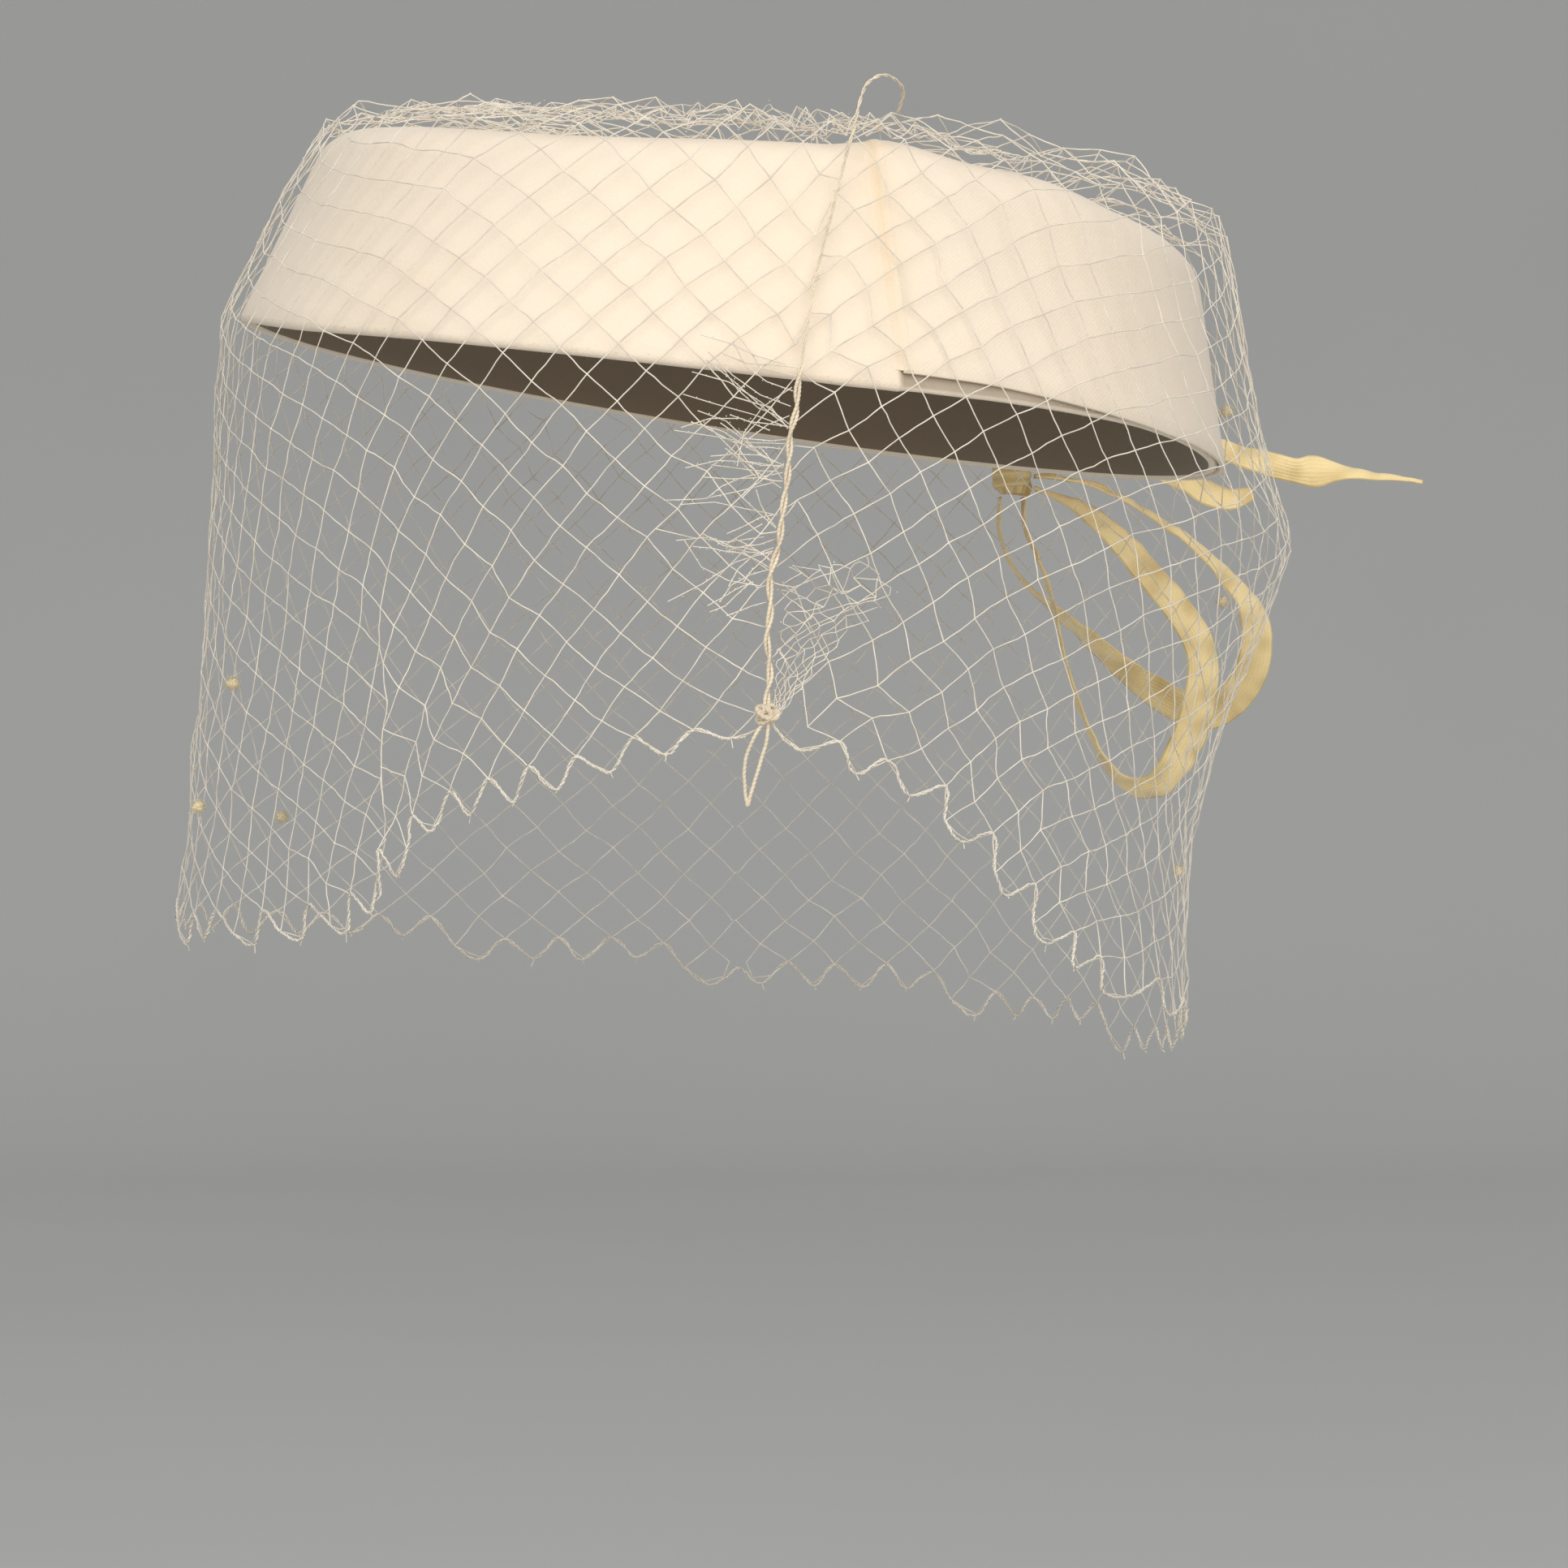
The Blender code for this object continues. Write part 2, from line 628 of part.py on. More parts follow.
def veil():
    """A coarse diamond net: bars between crossings, cut through in each mesh."""
    shape = bmesh.new()
    corners = {}

    def at(column, level):
        key = (column % (2 * VEIL_COLUMNS), level)
        if key not in corners:
            corners[key] = shape.verts.new(veil_point(column_azimuth(column), level))
        return corners[key]

    def half_width(column, level):
        """Half a bar as a share of the way to the middle of the mesh."""
        across = at(column - 1, level).co - at(column + 1, level).co
        down = at(column, level - 1).co - at(column, level + 1).co
        inner = across.length * down.length / math.hypot(across.length, down.length)
        return VEIL_BAR / inner

    for level in range(1, VEIL_ROWS):
        for column in range(level % 2 + 1, 2 * VEIL_COLUMNS + level % 2 + 1, 2):
            ring = [
                (column, level - 1),
                (column - 0.5, level - 0.5),
                (column - 1, level),
                (column - 0.5, level + 0.5),
                (column, level + 1),
                (column + 0.5, level + 0.5),
                (column + 1, level),
                (column + 0.5, level - 0.5),
            ]
            share = half_width(column, level)
            inner = []
            for c, r in ring:
                place = column_azimuth(mix(c, column, share))
                inner.append(shape.verts.new(veil_point(place, mix(r, level, share))))
            for k in range(len(ring)):
                m = (k + 1) % len(ring)
                shape.faces.new((at(*ring[k]), at(*ring[m]), inner[m], inner[k]))
    for column in range(1, 2 * VEIL_COLUMNS, 2):
        gather = [(column - 1, 0), (column - 0.5, 0.5), (column, 1), (column + 0.5, 0.5), (column + 1, 0)]
        shape.faces.new([at(*place) for place in gather])
    shape.faces.new([at(column, 0) for column in range(0, 2 * VEIL_COLUMNS, 2)])

    hem = []
    for column in range(0, 2 * VEIL_COLUMNS, 2):
        hem += [
            (column, VEIL_ROWS),
            (column + 0.5, VEIL_ROWS - 0.5),
            (column + 1, VEIL_ROWS - 1),
            (column + 1.5, VEIL_ROWS - 0.5),
        ]
    below = []
    for column, level in hem:
        azimuth = column_azimuth(column)
        row = veil_point(azimuth, VEIL_ROWS) - veil_point(azimuth, VEIL_ROWS - 1)
        drop = VEIL_BAR / math.sqrt(2) / row.length
        below.append(shape.verts.new(veil_point(azimuth, level + drop)))
    for k, place in enumerate(hem):
        m = (k + 1) % len(hem)
        shape.faces.new((at(*hem[m]), at(*place), below[k], below[m]))

    piece = mesh_object("veil", shape, SILVER_NET)
    thicken(piece, VEIL_THICKNESS, 1)
    return piece


# Draw cord


def draw_cord():
    points = []
    for k in range(CORD_STEPS + 1):
        row = smooth_rows(CORD_ROUTE, k / CORD_STEPS)
        height = GAP + CORD_DIAMETER / 2 + CORD_ARCH * max(row.height, 0)
        points.append(over_veil(row.azimuth, row.level, height))
    return tube("draw_cord", points, CORD_DIAMETER, COTTON_CORD)


def knot_centre():
    last = CORD_ROUTE[-1]
    foot = over_veil(last.azimuth, last.level, GAP + CORD_DIAMETER / 2)
    return foot - Vector((0, KNOT_DEPTH / 2, CORD_DIAMETER / 2 + GAP + KNOT_HEIGHT / 2))


def cord_tail():
    """The cord's end, doubled into a slim loop under the knot."""
    top = knot_centre() - Vector((0, 0, KNOT_HEIGHT / 2 + GAP + CORD_DIAMETER / 2))
    points = []
    for k in range(TAIL_STEPS + 1):
        share = k / TAIL_STEPS
        down = math.sin(math.pi * share)
        across = -math.cos(math.pi * share) * (0.45 + 0.55 * down) * TAIL_WIDTH / 2
        points.append(top + Vector((across - 0.3 * down * TAIL_WIDTH, 0, -down * TAIL_LENGTH)))
    return tube("cord_tail", points, CORD_DIAMETER, COTTON_CORD)


# Chenille dots


def chenille_dots():
    height = GAP + DOT_DIAMETER / 2
    size = Vector((DOT_DIAMETER,) * 3)
    for number, row in enumerate(DOTS, start=1):
        centre = over_veil(column_azimuth(row.column), row.level, height)
        pebble(f"chenille_dot_{number}", centre, size, CHENILLE)


# Ribbon bow


def bow_centre():
    azimuth = column_azimuth(BOW_COLUMN)
    return over_veil(azimuth, RIM_LEVEL, GAP) + outward(azimuth) * BOW_KNOT_WIDTH / 2


def bow_knot():
    """A barrel with rounded ends, whose side lies against the net."""
    shape = bmesh.new()
    radius = BOW_KNOT_WIDTH / 2
    bmesh.ops.create_cone(
        shape, cap_ends=True, segments=16, radius1=radius, radius2=radius, depth=BOW_KNOT_HEIGHT
    )
    rims = [edge for edge in shape.edges if abs(edge.verts[0].co.z - edge.verts[1].co.z) < GAP]
    bmesh.ops.bevel(shape, geom=rims, offset=BOW_KNOT_ROUNDING, segments=2, profile=0.5, affect="EDGES")
    bmesh.ops.translate(shape, verts=shape.verts, vec=bow_centre())
    return mesh_object("bow_knot", shape, AGED_RIBBON, 60)


def ribbon(name, rows):
    centre = bow_centre()
    path, turns, widths = [], [], []
    for k in range(RIBBON_STEPS + 1):
        row = smooth_rows(rows, k / RIBBON_STEPS)
        offset = Vector((BOW_REACH * row.out, BOW_SWING * row.swing, -BOW_DROP * row.drop))
        path.append(centre + offset)
        turns.append(math.radians(row.turn))
        widths.append(RIBBON_WIDTH * row.width / 2)
    shape = bmesh.new()
    edges = []
    for k, point in enumerate(path):
        along_it = (path[min(k + 1, RIBBON_STEPS)] - path[max(k - 1, 0)]).normalized()
        level = (Vector((0, 1, 0)) - along_it * along_it.y).normalized()
        upright = along_it.cross(level)
        across = level * math.cos(turns[k]) + upright * math.sin(turns[k])
        edges.append([shape.verts.new(point + across * widths[k] * side) for side in (-1, 1)])
    for k in range(RIBBON_STEPS):
        shape.faces.new((edges[k][0], edges[k][1], edges[k + 1][1], edges[k + 1][0]))
    piece = mesh_object(name, shape, AGED_RIBBON, 60)
    thicken(piece, RIBBON_THICKNESS, 0)
    return piece


def ribbon_bow():
    bow_knot()
    ribbon("bow_long_tail", LONG_TAIL)
    ribbon("bow_short_tail", SHORT_TAIL)
    ribbon("bow_outer_loop", OUTER_LOOP)
    ribbon("bow_inner_loop", INNER_LOOP)


def main():
    clear_scene()
    crown_band()
    lap_panel()
    crown_tip()
    veil()
    draw_cord()
    knot_size = (KNOT_WIDTH, KNOT_DEPTH, KNOT_HEIGHT)
    pebble("cord_knot", knot_centre(), knot_size, COTTON_CORD)
    cord_tail()
    chenille_dots()
    ribbon_bow()


main()
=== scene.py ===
"""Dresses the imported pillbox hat: crepe crown, net veil, draw cord, chenille dots and ribbon bow.

Laid out as a Blender add-on and run as a script. Lengths are in metres. +Z is up as worn, the
front faces -Y and the wearer's left is +X. An azimuth is an angle round the crown in degrees:
0 at the front, 90 at the wearer's left. A climb is a distance up the net from the rim.
"""

import math
from collections import namedtuple

import bpy
import numpy as np
from bpy.props import FloatProperty, FloatVectorProperty, IntProperty, PointerProperty
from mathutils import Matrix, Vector, noise


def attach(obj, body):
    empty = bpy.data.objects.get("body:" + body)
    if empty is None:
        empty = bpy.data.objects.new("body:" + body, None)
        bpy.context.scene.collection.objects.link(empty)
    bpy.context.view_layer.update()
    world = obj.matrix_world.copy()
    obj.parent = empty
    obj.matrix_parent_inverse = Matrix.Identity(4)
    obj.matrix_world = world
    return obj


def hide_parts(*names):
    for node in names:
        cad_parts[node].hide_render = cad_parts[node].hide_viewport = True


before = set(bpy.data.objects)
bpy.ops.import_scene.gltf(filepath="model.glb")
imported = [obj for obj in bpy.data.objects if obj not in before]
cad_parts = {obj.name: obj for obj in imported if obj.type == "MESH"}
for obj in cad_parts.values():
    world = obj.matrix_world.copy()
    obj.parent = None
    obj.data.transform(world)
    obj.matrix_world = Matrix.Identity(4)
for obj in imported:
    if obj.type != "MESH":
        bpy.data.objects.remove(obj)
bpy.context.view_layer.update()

bl_info = {
    "name": "Pillbox Hat",
    "version": (1, 0, 0),
    "blender": (4, 5, 0),
    "location": "View3D > Sidebar > Pillbox Hat",
    "description": "Crepe crown, net veil, draw cord, chenille dots and ribbon bow of a pillbox hat",
    "category": "Object",
}

MM = 0.001

# Sizes that follow the solids
GAP = 0.3 * MM
VEIL_REST = 0.9 * MM
SIDE_TILT = math.radians(8.8)
RIM_WIDTH = 171.4 * MM
RIM_DEPTH = 176 * MM
CROWN_HEIGHT = 35 * MM
WALL_LEAN = 10.8 * MM
TOP_ROUNDING = 8 * MM
TOP_LIP = 5 * MM
EDGE_WAVE = 4 * MM
BAND_THICKNESS = 2.4 * MM
TIP_THICKNESS = 2 * MM
TIP_SAG = 1 * MM
LAP_THICKNESS = 1 * MM
LAP_PROUD = 0.4 * MM
LAP_LIFT = 2.6 * MM
SEAM_FOOT = 19.6
SEAM_HEAD = 14.0
SEAM_BACK = 178.0
SEAM_VALLEY = 0.9
SEAM_SPREAD = 40.0
VEIL_THICKNESS = 1 * MM
VEIL_COLUMNS = 16
VEIL_ROWS = 8
VEIL_LIFT = 7 * MM
VEIL_STAND_OFF = 7 * MM
EDGE_STAND_OFF = 0.4
VEIL_BULGE = 10 * MM
HEM_DROP = 112 * MM
HEM_RADIUS = 102 * MM
EDGE_LEVEL = 1.5
RIM_LEVEL = 3.0
CORD_DIAMETER = 1.2 * MM
CORD_ARCH = 7 * MM
KNOT_WIDTH = 4.4 * MM
KNOT_DEPTH = 3.4 * MM
KNOT_HEIGHT = 3.6 * MM
TAIL_LENGTH = 13 * MM
TAIL_WIDTH = 3.2 * MM
DOT_DIAMETER = 3 * MM
RIBBON_WIDTH = 6.5 * MM
BOW_COLUMN = 13
BOW_KNOT_WIDTH = 8 * MM
BOW_KNOT_HEIGHT = 10 * MM
BOW_REACH = 77 * MM
BOW_DROP = 60 * MM
BOW_SWING = 14 * MM


def table(fields, *rows):
    """Rows of values that are read by their names."""
    kind = namedtuple("Row", fields)
    return tuple(kind(*row) for row in rows)


CROWN_EDGES = table(
    "azimuth rim_drop top_rise",
    (-180, 0.0, 0.0),
    (-120, 0.0, 0.0),
    (-85, 0.1, -0.1),
    (-56, 0.75, -0.4),
    (-30, 0.8, -0.5),
    (-15, 0.7, -0.25),
    (0, 0.5, 0.2),
    (11, 0.3, 0.55),
    (19, 0.1, 1.0),
    (30, -0.15, 0.8),
    (43, -0.35, 0.85),
    (56, -0.42, 0.5),
    (90, 0.0, 0.1),
    (130, 0.0, 0.0),
)
LAP_EDGE = table(
    "azimuth lift",
    (-180, 0.0),
    (0, 1.0),
    (25, 1.0),
    (42, 0.45),
    (56, 0.0),
    (120, 0.0),
)
VEIL_TOP = table(
    "level reach lift",
    (0.0, 0.19, 0.06),
    (0.5, 0.48, 0.8),
    (1.0, 0.77, 1.0),
    (EDGE_LEVEL, 1.012, 0.38),
)
VEIL_HANG = table(
    "azimuth drop radius stand_off bulge",
    (-180, 0.92, 0.87, 0.1, 0.1),
    (-150, 0.87, 0.91, 0.15, 0.1),
    (-112, 0.83, 1.00, 0.25, 0.1),
    (-85, 0.82, 0.90, 0.2, 0.0),
    (-62, 0.80, 0.84, 0.1, 0.0),
    (-48, 0.79, 0.85, 0.0, 0.0),
    (-38, 0.75, 0.87, 0.0, 0.0),
    (-30, 0.65, 0.89, 0.0, 0.0),
    (-16, 0.58, 0.92, 0.0, 0.0),
    (3, 0.50, 0.935, 0.0, 0.0),
    (17, 0.58, 0.935, 0.0, 0.0),
    (24, 0.66, 0.925, 0.0, 0.05),
    (31, 0.78, 0.91, 0.05, 0.1),
    (40, 0.87, 0.88, 0.15, 0.25),
    (62, 0.93, 0.80, 0.75, 0.8),
    (90, 0.97, 0.755, 1.0, 1.0),
    (118, 1.00, 0.80, 0.8, 0.8),
    (145, 0.97, 0.86, 0.4, 0.3),
)
VEIL_PROFILE = table(
    "depth bulge",
    (0.0, 0.0),
    (0.13, 0.55),
    (0.35, 0.05),
    (0.62, -0.45),
    (0.85, -0.2),
    (1.0, 0.0),
)
CORD_ROUTE = table(
    "azimuth level height",
    (19.0, 1.15, 0.0),
    (18.0, 1.27, 0.55),
    (15.0, 1.38, 0.85),
    (12.0, 1.46, 0.6),
    (10.4, 1.55, 0.0),
    (9.4, 1.9, 0.0),
    (8.2, 2.4, 0.0),
    (7.7, 3.0, 0.0),
    (6.9, 3.7, 0.0),
    (5.9, 4.8, 0.0),
    (4.7, 6.0, 0.0),
    (3.9, 7.1, 0.0),
    (3.8, 7.75, 0.0),
)
CORD_DESCENT = 4  # the first row of the route where the cord lies on the front of the net
DOTS = table(
    "column level",
    (9.5, 2.5),
    (10, 4),
    (9.5, 6.5),
    (-6, 6),
    (-7, 7),
    (-11, 7),
)
KNOT_SIDE = (BOW_KNOT_WIDTH / 2 + GAP) / BOW_REACH
KNOT_UNDER = (BOW_KNOT_HEIGHT / 2 + GAP) / BOW_DROP
KNOT_SHELF = BOW_KNOT_HEIGHT / 8 / BOW_DROP
KNOT_SLOT = BOW_KNOT_WIDTH / 4 / BOW_REACH
RIBBON_FIELDS = "out drop swing turn width"
RIBBONS = {
    "bow_long_tail": table(
        RIBBON_FIELDS,
        (KNOT_SIDE, -3 * KNOT_SHELF, 0.0, 0, 0.9),
        (0.24, -0.10, 0.0, 20, 1.0),
        (0.44, -0.085, -0.1, 50, 1.0),
        (0.58, -0.03, -0.2, 60, 0.95),
        (0.68, 0.005, -0.2, 90, 0.7),
        (0.74, 0.01, -0.2, 75, 0.95),
        (0.82, 0.015, -0.2, 55, 0.45),
        (1.0, 0.045, -0.2, 40, 0.12),
    ),
    "bow_short_tail": table(
        RIBBON_FIELDS,
        (KNOT_SIDE, -KNOT_SHELF, 0.0, 0, 0.9),
        (0.25, -0.02, 0.0, 15, 1.0),
        (0.41, 0.03, 0.0, 35, 1.0),
        (0.47, 0.07, 0.0, 50, 0.95),
        (0.53, 0.095, 0.0, 60, 0.75),
        (0.59, 0.075, 0.0, 70, 0.35),
    ),
    "bow_outer_loop": table(
        RIBBON_FIELDS,
        (KNOT_SIDE, KNOT_SHELF, 0.0, 0, 0.9),
        (0.22, 0.06, 0.0, 10, 1.0),
        (0.40, 0.20, -0.2, 20, 1.0),
        (0.54, 0.37, -0.3, 45, 1.0),
        (0.595, 0.50, -0.1, 75, 1.0),
        (0.58, 0.66, 0.3, 85, 1.0),
        (0.49, 0.76, 0.8, 80, 1.0),
        (0.35, 0.68, 1.15, 50, 1.0),
        (0.18, 0.50, 1.0, 20, 1.0),
        (0.03, 0.34, 0.45, 0, 1.0),
        (-KNOT_SLOT, 0.21, 0.08, 0, 1.0),
        (-KNOT_SLOT, KNOT_UNDER, 0.0, 0, 0.9),
    ),
    "bow_inner_loop": table(
        RIBBON_FIELDS,
        (KNOT_SIDE, 3 * KNOT_SHELF, 0.0, 0, 0.9),
        (0.18, 0.13, -0.1, 30, 1.0),
        (0.33, 0.33, -0.4, 60, 1.0),
        (0.45, 0.55, -0.5, 75, 1.0),
        (0.45, 0.74, -0.4, 75, 1.0),
        (0.41, 0.89, -0.3, 70, 1.0),
        (0.34, 1.0, -0.2, 40, 1.0),
        (0.24, 0.94, -0.1, 10, 1.0),
        (0.15, 0.68, 0.0, 0, 1.0),
        (0.09, 0.36, 0.0, 0, 1.0),
        (0.04, 0.2, 0.0, 0, 1.0),
        (KNOT_SLOT, KNOT_UNDER, 0.0, 0, 0.9),
    ),
}

# Where a ribbon is pinched or crushed: share of its way, reach, narrowing, crinkle
CRUSHES = {
    "bow_long_tail": ((0.30, 0.16, 0.34, 0.2), (0.62, 0.08, 0.0, 2.4)),
    "bow_outer_loop": ((0.20, 0.13, 0.40, 0.8), (0.55, 0.10, 0.0, 0.6)),
    "bow_inner_loop": ((0.25, 0.10, 0.10, 0.6), (0.50, 0.10, 0.0, 0.6)),
}

# How the rows of fine meshes fall away from the draw cord, and how far the columns lean with them:
# distance in mm, slope near the rim, slope near the hem
ROW_FALL = {
    -1: (
        (0, 0.08, 0.18),
        (35, 0.08, 0.22),
        (56, 0.14, 0.30),
        (70, 0.26, 0.42),
        (90, 0.38, 0.50),
        (110, 0.44, 0.44),
        (140, 0.38, 0.18),
        (190, 0.20, 0.0),
        (240, 0.05, 0.0),
        (290, 0.0, 0.0),
    ),
    1: (
        (0, 0.14, 0.28),
        (20, 0.16, 0.38),
        (35, 0.27, 0.55),
        (50, 0.42, 0.64),
        (75, 0.50, 0.52),
        (100, 0.42, 0.26),
        (140, 0.25, 0.06),
        (180, 0.08, 0.0),
        (290, 0.0, 0.0),
    ),
}
BACK_FALL = 52 * MM  # of every row of meshes from the front to the back
COLUMNS = {-1: 63, 1: 59}  # of meshes from the cord round each side to the back
FAN_ROWS = {-1: 2, 1: 3}  # rows of meshes that run together into the knot
HEM_DIP = {-1: (4 * MM, 15 * MM), 1: (5.5 * MM, 32 * MM)}  # below the plain hem at the knot, and its reach
HEM_PULL = {-1: 0.34, 1: 0.42}  # share of its zigzag that the hem's thread draws straight
NET_FRONT = 7.2  # azimuth of the cord at the rim
SPARE_COLUMNS = 12  # of meshes beyond the cord, from which its cut threads start
LOWEST_ROW, HIGHEST_ROW = -40, 47
HELD_ABOVE = 36 * MM  # climb above which the crossings keep their places
RELAX_ROUNDS = 120
HEM_CRIMP = 0.12 * MM

# The pleat left of the cord as seen from the front: its place, the cloth it takes and its width
PLEAT_AT = 66 * MM
PLEAT_DEPTH = 7 * MM
PLEAT_WIDTH = 5 * MM

# Light and camera
KEY_PLACE = (0.05, -1.05, 0.5)
KEY_AIM = (0, 0, -0.01)
KEY_SIZE = 1.5
KEY_COLOUR = (1.0, 0.95, 0.87)
SKY_COLOUR = (0.93, 0.96, 1.0, 1)
SKY_STRENGTH = 0.62
CAMERA_PLACE = (0.0091, -0.900, -0.0666)
CAMERA_LENS = 119.57
CAMERA_SENSOR = 36

# The floor and backdrop: how far they reach in front, behind, up and to each side, and the bend's radius
FLOOR_FRONT = -3.5
WALL_BACK = 2.8
WALL_TOP = 3.2
WALL_SIDE = 4.0
WALL_BEND = 0.6

# Soft dents in the cloth of the crown: azimuth, height in mm, radius in mm, depth in mm
DENTS = ((34, 25, 9, 0.7), (41, 19, 7, 0.5), (12, 30, 5, 0.4), (-28, 12, 12, 0.35))


# Numbers


def mix(a, b, share):
    return a + (b - a) * share


def ease(share):
    share = min(max(share, 0.0), 1.0)
    return share * share * (3 - 2 * share)


def smooth_between(before, a, b, after, share):
    """A curve from a to b that also heeds the values on either side of them."""
    slope_a = (b - before) / 2
    slope_b = (after - a) / 2
    return (
        a
        + slope_a * share
        + (3 * (b - a) - 2 * slope_a - slope_b) * share**2
        + (slope_a + slope_b - 2 * (b - a)) * share**3
    )


def around(rows, azimuth, column):
    """Reads a column of a table that goes once round the hat."""
    azimuth = (azimuth + 180) % 360 - 180
    count = len(rows)
    here = max(k for k in range(count) if rows[k].azimuth <= azimuth)
    start = rows[here].azimuth
    end = rows[here + 1].azimuth if here + 1 < count else rows[0].azimuth + 360
    values = [getattr(rows[(here + k) % count], column) for k in (-1, 0, 1, 2)]
    return smooth_between(*values, (azimuth - start) / (end - start))


def along(rows, key, place, column):
    """Reads a column of a table at a place between its first and last rows, in straight steps."""
    here = 0
    while here < len(rows) - 2 and getattr(rows[here + 1], key) <= place:
        here += 1
    low, high = rows[here], rows[here + 1]
    share = (place - getattr(low, key)) / (getattr(high, key) - getattr(low, key))
    return mix(getattr(low, column), getattr(high, column), share)


def smooth_rows(rows, share):
    """A row read from a smooth curve through all the rows, at a share of its length."""
    place = share * (len(rows) - 1)
    here = min(int(place), len(rows) - 2)
    around_it = [rows[min(max(here + k, 0), len(rows) - 1)] for k in (-1, 0, 1, 2)]
    return type(rows[0])(*(smooth_between(*values, place - here) for values in zip(*around_it)))


# Form of the crown


def tilted(side, back, height):
    """A point of the crown's own frame, as the hat sits."""
    return Vector(
        (
            side * math.cos(SIDE_TILT) + height * math.sin(SIDE_TILT),
            back,
            height * math.cos(SIDE_TILT) - side * math.sin(SIDE_TILT),
        )
    )


def crown_point(azimuth, inset, height):
    angle = math.radians(azimuth)
    side = (RIM_WIDTH / 2 - inset) * math.sin(angle)
    back = -(RIM_DEPTH / 2 - inset) * math.cos(angle)
    return tilted(side, back, height)


def rim_height(azimuth):
    return -EDGE_WAVE * around(CROWN_EDGES, azimuth, "rim_drop")


def edge_height(azimuth):
    return CROWN_HEIGHT + EDGE_WAVE * around(CROWN_EDGES, azimuth, "top_rise")


def top_height(azimuth, reach):
    return mix(CROWN_HEIGHT - TIP_SAG, edge_height(azimuth), reach**2)


def corner_reach():
    turn = math.pi / 2 - math.atan2(WALL_LEAN, CROWN_HEIGHT)
    return TOP_ROUNDING * math.tan(turn / 2)


def lip_inset():
    return WALL_LEAN + corner_reach() + TOP_LIP


def outer_section(azimuth, foot, wall_steps, round_steps):
    """(inset, height) up the wall from this height, over the rounding and along the lip."""
    low, high = rim_height(azimuth), edge_height(azimuth)
    rise = Vector((WALL_LEAN, high - low)).normalized()
    corner = Vector((WALL_LEAN, high))
    start = corner - rise * corner_reach()
    turn = math.acos(min(1, rise.x))
    centre = start + Vector((rise.y, -rise.x)) * TOP_ROUNDING
    bottom = Vector((WALL_LEAN * (foot - low) / (high - low), foot))
    points = [bottom.lerp(start, k / wall_steps) for k in range(wall_steps)]
    for k in range(round_steps + 1):
        back = turn * k / round_steps
        spoke = start - centre
        turned = Vector(
            (
                spoke.x * math.cos(back) + spoke.y * math.sin(back),
                spoke.y * math.cos(back) - spoke.x * math.sin(back),
            )
        )
        points.append(centre + turned)
    last = points[-1]
    lip = Vector((lip_inset(), last.y))
    return points + [last.lerp(lip, 0.5), lip]


def inward(points, distance):
    """The same run of points moved to the inner side of the wall."""
    moved = []
    for k, point in enumerate(points):
        run = points[min(k + 1, len(points) - 1)] - points[max(k - 1, 0)]
        moved.append(point + Vector((run.y, -run.x)).normalized() * distance)
    return moved


def seam_azimuth(height):
    share = min(max(height / CROWN_HEIGHT, 0), 1)
    return mix(SEAM_FOOT, SEAM_HEAD, share)


def band_station(azimuth, height):
    """Slants the stations of the band along the seam, less and less further from it."""
    middle = seam_azimuth(CROWN_HEIGHT / 2)
    near = max(0, 1 - abs(azimuth - middle) / SEAM_SPREAD)
    return azimuth + (seam_azimuth(height) - middle) * near


def cloth_relief(azimuth, height):
    """How far the cloth lies inside its even form, from soft waves and dents."""
    angle = math.radians(azimuth)
    place = Vector((math.sin(angle), -math.cos(angle), height / (RIM_WIDTH / 2)))
    depth = 0.22 * noise.noise(place * 5) + 0.10 * noise.noise(place * 17)
    for at, dent_height, radius, deep in DENTS:
        across = math.radians((azimuth - at + 180) % 360 - 180) * RIM_WIDTH / 2 / MM
        away = math.hypot(across, height / MM - dent_height) / radius
        depth += deep * math.exp(-away * away)
    return depth * MM


# Form of the net


def outward(azimuth):
    angle = math.radians(azimuth)
    return Vector((math.sin(angle), -math.cos(angle), 0))


def wall_point(azimuth, share, out):
    height = mix(rim_height(azimuth), edge_height(azimuth), share)
    return crown_point(azimuth, WALL_LEAN * share - out, height)


def net_stand_off(azimuth, up_wall):
    """How far the net stands out from the crown, beyond its rest, at a share of the wall's height."""
    at_rim = VEIL_STAND_OFF * around(VEIL_HANG, azimuth, "stand_off")
    return at_rim * mix(1, EDGE_STAND_OFF, up_wall)


